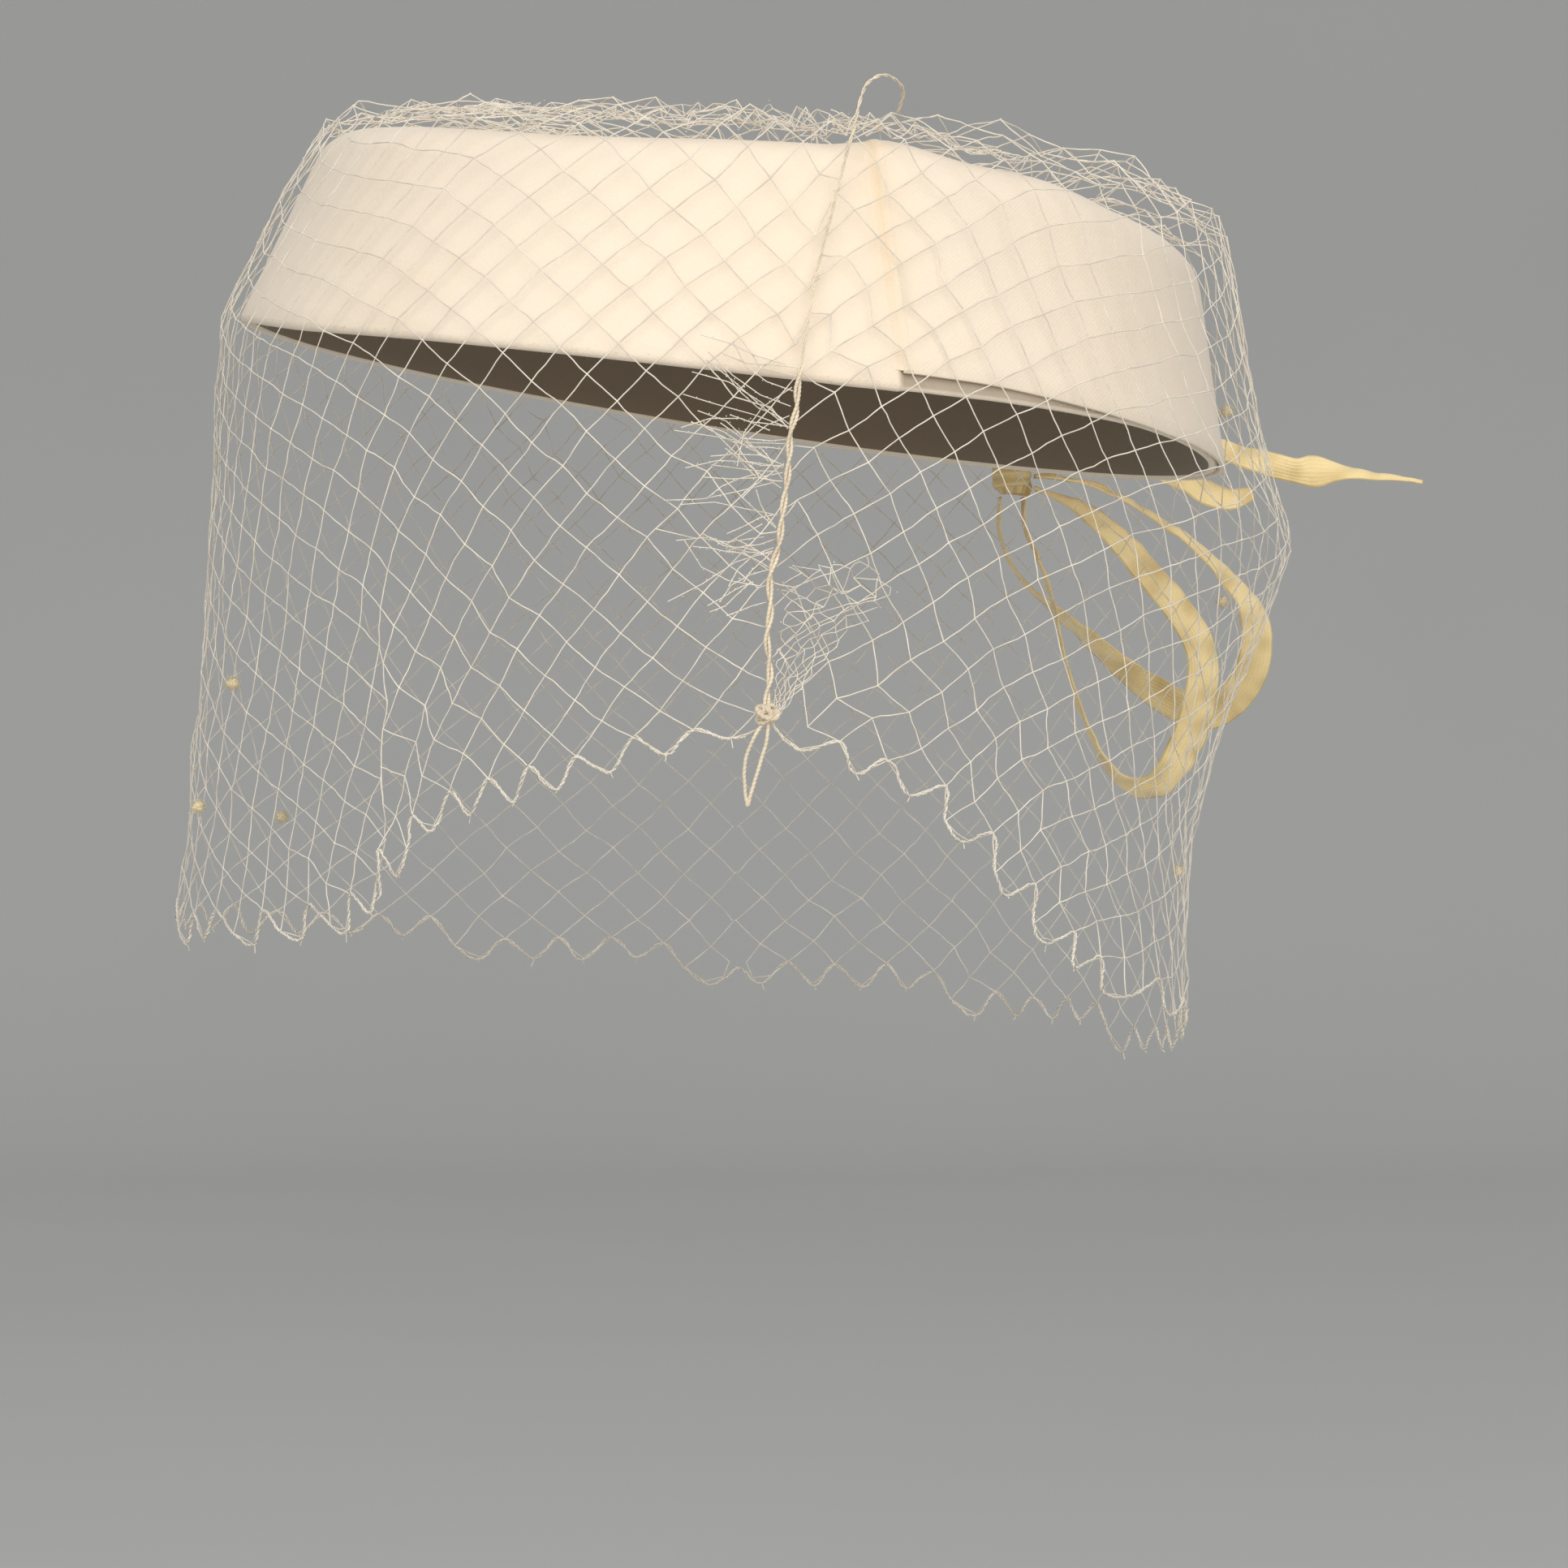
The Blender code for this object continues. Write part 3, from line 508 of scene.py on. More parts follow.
def veil_point(azimuth, level):
    """The inner face of the net: level 0 is the gather on top, VEIL_ROWS is the hem."""
    up_wall = min(max((RIM_LEVEL - level) / (RIM_LEVEL - EDGE_LEVEL), 0), 1)
    stand_off = net_stand_off(azimuth, up_wall)
    out = VEIL_REST + stand_off
    if level <= EDGE_LEVEL:
        reach = along(VEIL_TOP, "level", level, "reach")
        lift = VEIL_LIFT * along(VEIL_TOP, "level", level, "lift")
        share = reach**2
        height = top_height(azimuth, reach) + lift + stand_off * share
        angle = math.radians(azimuth)
        side = (RIM_WIDTH / 2 - WALL_LEAN) * reach + out * share
        back = (RIM_DEPTH / 2 - WALL_LEAN) * reach + out * share
        return tilted(side * math.sin(angle), -back * math.cos(angle), height)
    if level <= RIM_LEVEL:
        beside_edge = wall_point(azimuth, 1, VEIL_REST + net_stand_off(azimuth, 1))
        over_edge = veil_point(azimuth, EDGE_LEVEL) - beside_edge
        return wall_point(azimuth, up_wall, out) + over_edge * up_wall**2
    depth = (level - RIM_LEVEL) / (VEIL_ROWS - RIM_LEVEL)
    rim = wall_point(azimuth, 0, out)
    hem = outward(azimuth) * HEM_RADIUS * around(VEIL_HANG, azimuth, "radius")
    hem.z = -HEM_DROP * around(VEIL_HANG, azimuth, "drop")
    bulge = VEIL_BULGE * around(VEIL_HANG, azimuth, "bulge")
    bulge *= along(VEIL_PROFILE, "depth", depth, "bulge")
    return rim.lerp(hem, depth) + outward(azimuth) * bulge


def veil_normal(azimuth, level):
    turn, step = 0.5, 0.05
    across = veil_point(azimuth + turn, level) - veil_point(azimuth - turn, level)
    down = veil_point(azimuth, level + step) - veil_point(azimuth, level - step)
    return down.cross(across).normalized()


def over_veil(azimuth, level, height):
    """A point this far over the outer face of the solid net."""
    return veil_point(azimuth, level) + veil_normal(azimuth, level) * (VEIL_THICKNESS + height)


def column_azimuth(column):
    return 180 * column / VEIL_COLUMNS


def knot_centre():
    last = CORD_ROUTE[-1]
    foot = over_veil(last.azimuth, last.level, GAP + CORD_DIAMETER / 2)
    return foot - Vector((0, KNOT_DEPTH / 2, CORD_DIAMETER / 2 + GAP + KNOT_HEIGHT / 2))


def bow_centre():
    azimuth = column_azimuth(BOW_COLUMN)
    return over_veil(azimuth, RIM_LEVEL, GAP) + outward(azimuth) * BOW_KNOT_WIDTH / 2


class NetSheet:
    """The surface that the net lies on, as a table by azimuth and climb."""

    turn_step = 2.0
    climb_step = 2 * MM
    lowest = -130 * MM
    highest = 130 * MM

    def __init__(self):
        self.azimuths = np.arange(-180, 180.1, self.turn_step)
        self.climbs = np.arange(self.lowest, self.highest, self.climb_step)
        levels = np.linspace(0, VEIL_ROWS + 0.8, 89)
        self.levels = levels
        rim = int(np.argmin(abs(levels - RIM_LEVEL)))
        hem = int(np.argmin(abs(levels - VEIL_ROWS)))
        edge = int(np.argmin(abs(levels - EDGE_LEVEL)))
        table, self.reach = [], []
        self.hem_climb, self.edge_climb, self.top_climb = [], [], []
        for azimuth in self.azimuths:
            run = np.array([veil_point(azimuth, level) for level in levels])
            steps = np.linalg.norm(np.diff(run, axis=0), axis=1)
            length = np.concatenate(([0], np.cumsum(steps)))
            climb = length[rim] - length
            table.append([np.interp(self.climbs, climb[::-1], run[::-1, n]) for n in range(3)])
            self.reach.append(climb)
            self.hem_climb.append(climb[hem])
            self.edge_climb.append(climb[edge])
            self.top_climb.append(climb[0])
        self.points = np.array(table).transpose(0, 2, 1)
        turned = np.linalg.norm(np.diff(self.points, axis=0, append=self.points[1:2]), axis=2)
        self.spread = (turned / math.radians(self.turn_step) / (RIM_WIDTH / 2))[:, :, None]
        wide = np.concatenate((self.points[-2:-1], self.points, self.points[1:2]))
        across = wide[2:] - wide[:-2]
        up = np.gradient(self.points, axis=1)
        normals = np.cross(across, up)
        sizes = np.linalg.norm(normals, axis=2, keepdims=True)
        self.normals = normals / np.maximum(sizes, 1e-12)
        beyond = sizes[:, :, 0] < 1e-12
        for row, missing in zip(self.normals, beyond):
            known = np.flatnonzero(~missing)
            row[missing] = row[known[np.abs(np.flatnonzero(missing)[:, None] - known).argmin(axis=1)]]

    def read(self, table, azimuth, climb):
        turn = (np.mod(azimuth + 180, 360)) / self.turn_step
        rise = np.clip((climb - self.lowest) / self.climb_step, 0, len(self.climbs) - 1.001)
        a, c = turn.astype(int), rise.astype(int)
        after = np.minimum(a + 1, len(self.azimuths) - 1)
        fa, fc = (turn - a)[:, None], (rise - c)[:, None]
        low = table[a, c] * (1 - fc) + table[a, c + 1] * fc
        high = table[after, c] * (1 - fc) + table[after, c + 1] * fc
        return low * (1 - fa) + high * fa

    def place(self, azimuth, climb, lift):
        """Points over the net's inner face, for arrays of azimuths, climbs and lifts."""
        azimuth, climb = np.asarray(azimuth, float), np.asarray(climb, float)
        lift = np.broadcast_to(np.asarray(lift, float), azimuth.shape)
        normal = self.read(self.normals, azimuth, climb)
        normal /= np.linalg.norm(normal, axis=1, keepdims=True)
        return self.read(self.points, azimuth, climb) + normal * lift[:, None]

    def at(self, values, azimuth):
        """Reads a list of one value for each azimuth."""
        return np.interp(np.mod(azimuth + 180, 360) - 180, self.azimuths, values)

    def climb_of(self, azimuth, level):
        row = int(round((azimuth + 180) / self.turn_step))
        return float(np.interp(level, self.levels, self.reach[row]))


# Settings


def colour_setting(name, description, colour):
    return FloatVectorProperty(
        name=name,
        description=description,
        subtype="COLOR",
        size=4,
        min=0,
        max=1,
        default=(*colour, 1),
    )


def length_setting(name, description, least, most, default):
    return FloatProperty(
        name=name,
        description=description,
        subtype="DISTANCE",
        min=least,
        max=most,
        default=default,
    )


class PillboxCrown(bpy.types.PropertyGroup):
    """Cloth of the crown"""

    cloth: colour_setting("Crepe", "Colour of the cream crepe", (0.865, 0.752, 0.618))
    yellowed: colour_setting(
        "Yellowed crepe", "Colour of the crepe where age has yellowed it", (0.80, 0.62, 0.40)
    )
    # Painted shade: the dark colour painted on the crown's inside faces, on the top's underside and in the
    # groove under the lapped panel's foot.
    painted_shade: colour_setting(
        "Inside",
        "Colour of the crown's inside and of the groove under the lapped panel",
        (0.16, 0.115, 0.07),
    )
    steps: IntProperty(
        name="Steps round",
        description="Faces round the crown",
        min=72,
        max=720,
        default=288,
    )
    fuzz_length: length_setting("Fuzz", "Longest loose fibre on the rim", 0, 0.005, 0.0013)


class PillboxNet(bpy.types.PropertyGroup):
    """Fine meshes of the veil"""

    colour: colour_setting("Net", "Colour of the net's thread", (0.87, 0.80, 0.69))
    hem_colour: colour_setting(
        "Hem", "Colour of the crimped thread along the hem", (0.84, 0.78, 0.68)
    )
    mesh_edge: length_setting("Mesh", "Length of one side of a mesh", 0.004, 0.02, 0.00635)
    strand: length_setting("Thread", "Diameter of the net's thread", 0.0001, 0.002, 0.00022)
    hem_strand: length_setting(
        "Hem thread", "Diameter of the crimped thread along the hem", 0.0002, 0.003, 0.00062
    )
    seed: IntProperty(
        name="Seed",
        description="Picks the small irregularities of the net",
        default=7,
    )


class PillboxCord(bpy.types.PropertyGroup):
    """Draw cord, its knot and the dots"""

    colour: colour_setting("Cord", "Colour of the cotton cord", (0.86, 0.74, 0.56))
    dot_colour: colour_setting("Chenille", "Colour of the chenille dots", (0.80, 0.68, 0.44))
    strand: length_setting(
        "Strand",
        "Diameter of each of the two strands that the cord is twisted from",
        0.0003,
        0.002,
        0.00058,
    )
    lay: length_setting(
        "Lay", "Length of one turn of the two strands round each other", 0.002, 0.05, 0.009
    )


class PillboxBow(bpy.types.PropertyGroup):
    """Ribbon bow"""

    colour: colour_setting(
        "Ribbon", "Colour of the ribbon where it catches the light", (0.97, 0.77, 0.40)
    )
    # Used for random aged patches and the ribs' darker lines, and as the painted shade in the ribbon's
    # creases and crushed parts and in the bow knot's pleats.
    aged: colour_setting(
        "Aged ribbon", "Colour of the ribbon in its creases", (0.55, 0.39, 0.15)
    )
    thickness: length_setting(
        "Thickness", "Thickness of the woven ribbon", 0.0001, 0.001, 0.00035
    )


class PillboxStage(bpy.types.PropertyGroup):
    """Floor, backdrop and key light"""

    backdrop: colour_setting(
        "Backdrop", "Colour of the floor and the backdrop", (0.57, 0.565, 0.54)
    )
    key_power: FloatProperty(
        name="Key light",
        description="Power of the large soft light in watts",
        subtype="POWER",
        min=0,
        max=200,
        default=11.9,
    )
    floor_height: length_setting("Floor", "Height of the floor, below the veil", -1, -0.12, -0.3)


# Shading


class Nodes:
    """A node tree under way, with short calls for its nodes."""

    def node(self, kind, inputs=(), **settings):
        made = self.tree.nodes.new(kind)
        for name, value in settings.items():
            setattr(made, name, value)
        for name, value in dict(inputs).items():
            self.give(made.inputs[name], value)
        return made

    def give(self, socket, value):
        if isinstance(value, bpy.types.NodeSocket):
            self.tree.links.new(value, socket)
        else:
            socket.default_value = value

    def maths(self, operation, a, b=0.0, kind="Math"):
        made = self.node("ShaderNode" + kind, operation=operation)
        self.give(made.inputs[0], a)
        self.give(made.inputs[1], b)
        return made.outputs[0]


class Shading(Nodes):
    """A material under way."""

    def __init__(self, name, roughness, sheen=0.0):
        self.material = bpy.data.materials.new(name)
        self.material.use_nodes = True
        self.tree = self.material.node_tree
        self.shader = self.tree.nodes["Principled BSDF"].inputs
        self.shader["Roughness"].default_value = roughness
        self.shader["Sheen Weight"].default_value = sheen
        self.shader["Sheen Roughness"].default_value = 0.5
        self.shader["Specular IOR Level"].default_value = 0.3

    def place(self):
        return self.node("ShaderNodeTexCoord").outputs["Object"]

    def flat_place(self):
        return self.node("ShaderNodeUVMap", uv_map="UVMap").outputs["UV"]

    def mark(self, name):
        return self.node("ShaderNodeAttribute", attribute_name=name).outputs["Fac"]

    def noise(self, vector, scale, detail=2.0):
        inputs = {"Vector": vector, "Scale": scale, "Detail": detail}
        return self.node("ShaderNodeTexNoise", inputs).outputs["Fac"]

    def stripes(self, vector, scale, turn=0.0, waver=0.0, waver_scale=1.0):
        inputs = {"Vector": vector, "Rotation": (0, 0, turn)}
        turned = self.node("ShaderNodeMapping", inputs).outputs["Vector"]
        inputs = {
            "Vector": turned,
            "Scale": scale,
            "Distortion": waver,
            "Detail Scale": waver_scale,
        }
        return self.node("ShaderNodeTexWave", inputs).outputs["Fac"]

    def spread(self, value, low, high):
        inputs = {"Value": value, "From Min": low, "From Max": high}
        return self.node("ShaderNodeMapRange", inputs).outputs["Result"]

    def blend(self, share, a, b, strength=1.0):
        """Colour a with this share of colour b, through the node's sockets for colours."""
        made = self.node("ShaderNodeMix", data_type="RGBA")
        if strength < 1:
            share = self.maths("MULTIPLY", share, strength)
        self.give(made.inputs[0], share)
        self.give(made.inputs[6], a)
        self.give(made.inputs[7], b)
        return made.outputs[2]

    def colour(self, value):
        self.give(self.shader["Base Color"], value)

    def bump(self, height, distance, strength=1.0):
        inputs = {"Height": height, "Distance": distance, "Strength": strength}
        self.give(self.shader["Normal"], self.node("ShaderNodeBump", inputs).outputs["Normal"])


def shade_of(colour, factor):
    return (colour[0] * factor, colour[1] * factor, colour[2] * factor, 1)


def crepe_material(name, settings):
    """Crepe with a very fine grain, a faint twill, yellowed patches, marked yellowing stains and marked
    painted shade on its inside and in the groove under the lapped panel.
    """
    cloth = Shading(name, 0.9, sheen=0.2)
    flat = cloth.flat_place()
    yellowed = tuple(settings.yellowed)
    patches = cloth.spread(cloth.noise(cloth.place(), 45, 4), 0.45, 0.75)
    colour = cloth.blend(patches, tuple(settings.cloth), yellowed, 0.14)
    fleck = cloth.spread(cloth.noise(flat, 1500, 3), 0.35, 0.65)
    colour = cloth.blend(fleck, colour, shade_of(settings.cloth, 0.78), 0.10)
    colour = cloth.blend(cloth.mark("yellowing"), colour, yellowed)
    # Painted shade: the shade mark darkens the inside, the top's underside and the groove under the lapped
    # panel towards this colour.
    cloth.colour(cloth.blend(cloth.mark("shade"), colour, tuple(settings.painted_shade)))
    grain = cloth.noise(flat, 1900, 3)
    twill = cloth.stripes(flat, 620, 0.9, 2.5, 3.0)
    cloth.bump(cloth.maths("ADD", grain, cloth.maths("MULTIPLY", twill, 0.25)), 0.0002, 0.3)
    return cloth.material


def thread_material(name, colour, roughness=0.75, sheen=0.2, ply=2600.0):
    """Spun thread: fine plies across it and an uneven tone."""
    thread = Shading(name, roughness, sheen)
    place = thread.place()
    tone = thread.spread(thread.noise(place, 260, 3), 0.3, 0.7)
    fibres = thread.noise(place, ply, 2)
    shade = thread.blend(tone, shade_of(colour, 0.78), shade_of(colour, 1.12))
    thread.colour(thread.blend(fibres, shade, shade_of(colour, 0.6), 0.3))
    thread.bump(fibres, 0.00015, 0.5)
    return thread.material


def ribbon_material(name, settings):
    """Woven ribbon: fine cross ribs, firm edges, aged patches, and painted shade that darkens it in its
    creases and pleats.
    """
    ribbon = Shading(name, 0.6, sheen=0.35)
    flat = ribbon.flat_place()
    aged = tuple(settings.aged)
    ribs = ribbon.stripes(flat, 520, math.pi / 2, 0.4, 2.0)
    cross = ribbon.stripes(flat, 640, 0.0, 0.6, 2.0)
    patches = ribbon.spread(ribbon.noise(ribbon.place(), 110, 4), 0.5, 0.75)
    colour = ribbon.blend(patches, tuple(settings.colour), aged, 0.25)
    # Painted shade: the shade mark darkens creases, crushed parts and pleat hollows.
    colour = ribbon.blend(ribbon.mark("shade"), colour, aged)
    ribbon.colour(ribbon.blend(ribs, colour, shade_of(settings.aged, 0.8), 0.1))
    ribbon.bump(ribbon.maths("ADD", ribs, ribbon.maths("MULTIPLY", cross, 0.5)), 0.00012, 0.5)
    return ribbon.material


def stage_material(name, settings):
    """Matt paper with a very faint mottle."""
    paper = Shading(name, 0.95)
    mottle = paper.noise(paper.place(), 3, 3)
    colour = settings.backdrop
    paper.colour(paper.blend(mottle, shade_of(colour, 0.97), shade_of(colour, 1.03)))
    return paper.material


# Meshes


def linked(name, data):
    piece = bpy.data.objects.new(name, data)
    bpy.context.scene.collection.objects.link(piece)
    return piece


def finish_piece(piece, slot, *nodes):
    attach(piece, "root")
    if nodes:
        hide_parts(*nodes)
    return piece


def add_marks(mesh, marks):
    for name, values in marks.items():
        layer = mesh.attributes.new(name, "FLOAT", "POINT")
        layer.data.foreach_set("value", np.asarray(values, float).ravel())


def smooth(mesh, sharp_degrees=50):
    mesh.shade_smooth()
    mesh.set_sharp_from_angle(angle=math.radians(sharp_degrees))


def loft(name, rings, closed_rings, closed_path, marks):
    """A skin over rings of points, with arc lengths as its UV map and its marks as attributes."""
    grid = np.array(rings)
    count, size = grid.shape[:2]
    across = np.linalg.norm(np.diff(grid, axis=1, append=grid[:, :1]), axis=2).mean(axis=0)
    forward = np.linalg.norm(np.diff(grid, axis=0, append=grid[:1]), axis=2).max(axis=1)
    u = np.concatenate(([0], np.cumsum(forward)))
    v = np.concatenate(([0], np.cumsum(across)))
    faces, flat = [], []
    for k in range(count if closed_path else count - 1):
        for n in range(size if closed_rings else size - 1):
            m, after = (n + 1) % size, (k + 1) % count
            faces.append((k * size + n, k * size + m, after * size + m, after * size + n))
            flat += [u[k], v[n], u[k], v[n + 1], u[k + 1], v[n + 1], u[k + 1], v[n]]
    if closed_rings and not closed_path:
        for k, run in ((0, range(size - 1, -1, -1)), (count - 1, range(size))):
            faces.append(tuple(k * size + n for n in run))
            flat += [value for n in run for value in (u[k], v[n])]
    mesh = bpy.data.meshes.new(name)
    mesh.from_pydata(grid.reshape(-1, 3).tolist(), [], faces)
    mesh.uv_layers.new(name="UVMap").data.foreach_set("uv", flat)
    add_marks(mesh, marks)
    smooth(mesh)
    return mesh


def faces_outward(mesh, centre):
    """Turns a closed shell right side out when its faces look towards its inside."""
    volume = sum(
        (Vector(face.center) - centre).dot(face.normal) * face.area for face in mesh.polygons
    )
    if volume < 0:
        mesh.flip_normals()


def wire(name, points, edges):
    mesh = bpy.data.meshes.new(name)
    mesh.from_pydata([tuple(point) for point in points], edges, [])
    return linked(name, mesh)


def path_wire(name, paths):
    points, edges = [], []
    for path in paths:
        edges += [(len(points) + k, len(points) + k + 1) for k in range(len(path) - 1)]
        points += list(path)
    return wire(name, points, edges)


def patterned(name, tree, source, values, slot, *nodes):
    """Runs a node tree on a source object once and keeps what it makes as a finished piece."""
    modifier = source.modifiers.new("pattern", "NODES")
    modifier.node_group = tree
    for item in tree.interface.items_tree:
        if item.item_type == "SOCKET" and item.in_out == "INPUT" and item.name in values:
            modifier[item.identifier] = values[item.name]
    depsgraph = bpy.context.evaluated_depsgraph_get()
    mesh = bpy.data.meshes.new_from_object(source.evaluated_get(depsgraph), depsgraph=depsgraph)
    mesh.name = name
    source.modifiers.remove(modifier)
    bpy.data.objects.remove(source, do_unlink=True)
    return finish_piece(linked(name, mesh), slot, *nodes)


# Node trees


class Pattern(Nodes):
    """A geometry node tree under way."""

    def __init__(self, name, **sockets):
        self.tree = bpy.data.node_groups.new(name, "GeometryNodeTree")
        face = self.tree.interface
        face.new_socket("Geometry", in_out="INPUT", socket_type="NodeSocketGeometry")
        face.new_socket("Geometry", in_out="OUTPUT", socket_type="NodeSocketGeometry")
        face.new_socket("Material", in_out="INPUT", socket_type="NodeSocketMaterial")
        for kind, labels in sockets.items():
            for label in labels:
                face.new_socket(label, in_out="INPUT", socket_type="NodeSocket" + kind)
        self.inputs = self.tree.nodes.new("NodeGroupInput").outputs

    def made_by(self, kind, inputs=(), **settings):
        return self.node(kind, inputs, **settings).outputs[0]

    def scaled(self, vector, factor):
        inputs = {"Vector": vector, "Scale": factor}
        return self.made_by("ShaderNodeVectorMath", inputs, operation="SCALE")

    def moved(self, geometry, **change):
        inputs = {"Geometry": geometry, **change}
        return self.made_by("GeometryNodeSetPosition", inputs)

    def random_size(self, low, high):
        """A random number for each point, through the node's sockets for single numbers."""
        inputs = {"Seed": self.inputs["Seed"]}
        made = self.node("FunctionNodeRandomValue", inputs, data_type="FLOAT")
        made.inputs[2].default_value = low
        made.inputs[3].default_value = high
        return made.outputs[1]

    def circle(self, diameter):
        radius = self.maths("MULTIPLY", diameter, 0.5)
        inputs = {"Resolution": self.inputs["Sides"], "Radius": radius}
        return self.made_by("GeometryNodeCurvePrimitiveCircle", inputs)

    def swept(self, curve, profile):
        inputs = {"Curve": curve, "Profile Curve": profile, "Fill Caps": True}
        return self.made_by("GeometryNodeCurveToMesh", inputs)

    def joined(self, *parts):
        made = self.node("GeometryNodeJoinGeometry")
        for part in reversed(parts):
            self.tree.links.new(part, made.inputs[0])
        return made.outputs[0]

    def finish(self, geometry):
        real = self.made_by("GeometryNodeRealizeInstances", {"Geometry": geometry})
        soft = self.made_by("GeometryNodeSetShadeSmooth", {"Geometry": real, "Shade Smooth": True})
        inputs = {"Geometry": soft, "Material": self.inputs["Material"]}
        clad = self.made_by("GeometryNodeSetMaterial", inputs)
        self.tree.links.new(clad, self.tree.nodes.new("NodeGroupOutput").inputs[0])
        return self.tree


def net_pattern(name):
    """Threads with a little slack along the edges of a mesh, and a small knot at each crossing."""
    net = Pattern(
        name, Float=("Thread", "Knot", "Slack", "Slack Size"), Int=("Points", "Sides", "Seed")
    )
    given = net.inputs
    curve = net.made_by("GeometryNodeMeshToCurve", {"Mesh": given["Geometry"]})
    inputs = {"Curve": curve, "Count": given["Points"]}
    fine = net.made_by("GeometryNodeResampleCurve", inputs)
    share = net.node("GeometryNodeSplineParameter").outputs["Factor"]
    middle = net.maths("MULTIPLY", share, net.maths("SUBTRACT", 1.0, share))
    inputs = {"W": given["Seed"], "Scale": given["Slack Size"], "Detail": 1.0}
    waves = net.node("ShaderNodeTexNoise", inputs, noise_dimensions="4D").outputs["Color"]
    centred = net.maths("SUBTRACT", waves, (0.5, 0.5, 0.5), "VectorMath")
    size = net.maths("MULTIPLY", net.maths("MULTIPLY", middle, 8.0), given["Slack"])
    slack = net.moved(fine, Offset=net.scaled(centred, size))
    threads = net.swept(slack, net.circle(given["Thread"]))
    inputs = {"Radius": net.maths("MULTIPLY", given["Knot"], 0.5), "Subdivisions": 1}
    bead = net.made_by("GeometryNodeMeshIcoSphere", inputs)
    inputs = {
        "Points": given["Geometry"],
        "Instance": bead,
        "Scale": net.random_size(0.7, 1.2),
    }
    knots = net.made_by("GeometryNodeInstanceOnPoints", inputs)
    return net.finish(net.joined(threads, knots))


def twist_pattern(name):
    """Strands laid round each other along a path, each with a lobed section that twists."""
    cord = Pattern(
        name,
        Float=("Strand", "Lay Radius", "Lay", "Lobe Depth", "Twist", "Step"),
        Int=("Strands", "Lobes", "Sides"),
    )
    given = cord.inputs
    curve = cord.made_by("GeometryNodeMeshToCurve", {"Mesh": given["Geometry"]})
    inputs = {"Curve": curve, "Length": given["Step"]}
    fine = cord.made_by("GeometryNodeResampleCurve", inputs, mode="LENGTH")
    inputs = {"Geometry": fine, "Amount": given["Strands"]}
    copies = cord.node("GeometryNodeDuplicateElements", inputs, domain="SPLINE").outputs
    length = cord.node("GeometryNodeSplineParameter").outputs["Length"]
    turns = cord.maths("DIVIDE", length, given["Lay"])
    apart = cord.maths("DIVIDE", copies["Duplicate Index"], given["Strands"])
    inputs = {
        "Vector": cord.made_by("GeometryNodeInputNormal"),
        "Axis": cord.made_by("GeometryNodeInputTangent"),
        "Angle": cord.maths("MULTIPLY", cord.maths("ADD", turns, apart), math.tau),
    }
    spoke = cord.made_by("ShaderNodeVectorRotate", inputs, rotation_type="AXIS_ANGLE")
    laid = cord.moved(copies["Geometry"], Offset=cord.scaled(spoke, given["Lay Radius"]))
    own_turns = cord.maths("DIVIDE", length, given["Twist"])
    inputs = {"Curve": laid, "Tilt": cord.maths("MULTIPLY", own_turns, math.tau)}
    twisted = cord.made_by("GeometryNodeSetCurveTilt", inputs)
    round_it = cord.maths("DIVIDE", cord.made_by("GeometryNodeInputIndex"), given["Sides"])
    phase = cord.maths("MULTIPLY", cord.maths("MULTIPLY", round_it, given["Lobes"]), math.tau)
    wave = cord.maths("MULTIPLY", cord.maths("COSINE", phase), given["Lobe Depth"])
    place = cord.made_by("GeometryNodeInputPosition")
    swollen = cord.scaled(place, cord.maths("ADD", wave, 1.0))
    lobed = cord.moved(cord.circle(given["Strand"]), Position=swollen)
    return cord.finish(cord.swept(twisted, lobed))


def fuzz_pattern(name):
    """Short straight fibres that stand on a surface at random, with or without the surface."""
    fuzz = Pattern(
        name,
        Float=("Density", "Length", "Thickness", "Splay"),
        Int=("Seed",),
        Bool=("Keep Surface",),
    )
    given = fuzz.inputs
    inputs = {"Mesh": given["Geometry"], "Density": given["Density"], "Seed": given["Seed"]}
    scatter = fuzz.node("GeometryNodeDistributePointsOnFaces", inputs).outputs
    inputs = {
        "Vertices": 3,
        "Radius Top": 0.0,
        "Radius Bottom": fuzz.maths("MULTIPLY", given["Thickness"], 0.5),
        "Depth": given["Length"],
    }
    fibre = fuzz.made_by("GeometryNodeMeshCone", inputs, fill_type="NGON")
    inputs = {"Seed": given["Seed"]}
    splay = fuzz.node("FunctionNodeRandomValue", inputs, data_type="FLOAT_VECTOR")
    splay.inputs[0].default_value = (-1, -1, -1)
    splay.inputs[1].default_value = (1, 1, 1)
    leaning = fuzz.scaled(splay.outputs[0], given["Splay"])
    lean = fuzz.maths("ADD", scatter["Normal"], leaning, "VectorMath")
    aimed = fuzz.made_by("FunctionNodeAlignRotationToVector", {"Vector": lean}, axis="Z")
    inputs = {
        "Points": scatter["Points"],
        "Instance": fibre,
        "Rotation": aimed,
        "Scale": fuzz.random_size(0.35, 1.0),
    }
    fibres = fuzz.made_by("GeometryNodeInstanceOnPoints", inputs)
    inputs = {"Switch": given["Keep Surface"], "True": given["Geometry"]}
    surface = fuzz.made_by("GeometryNodeSwitch", inputs, input_type="GEOMETRY")
    return fuzz.finish(fuzz.joined(surface, fibres))


def shared_pattern(name, make):
    return bpy.data.node_groups.get(name) or make(name)


def shared_material(name, make, *values):
    return bpy.data.materials.get(name) or make(name, *values)


# Crown


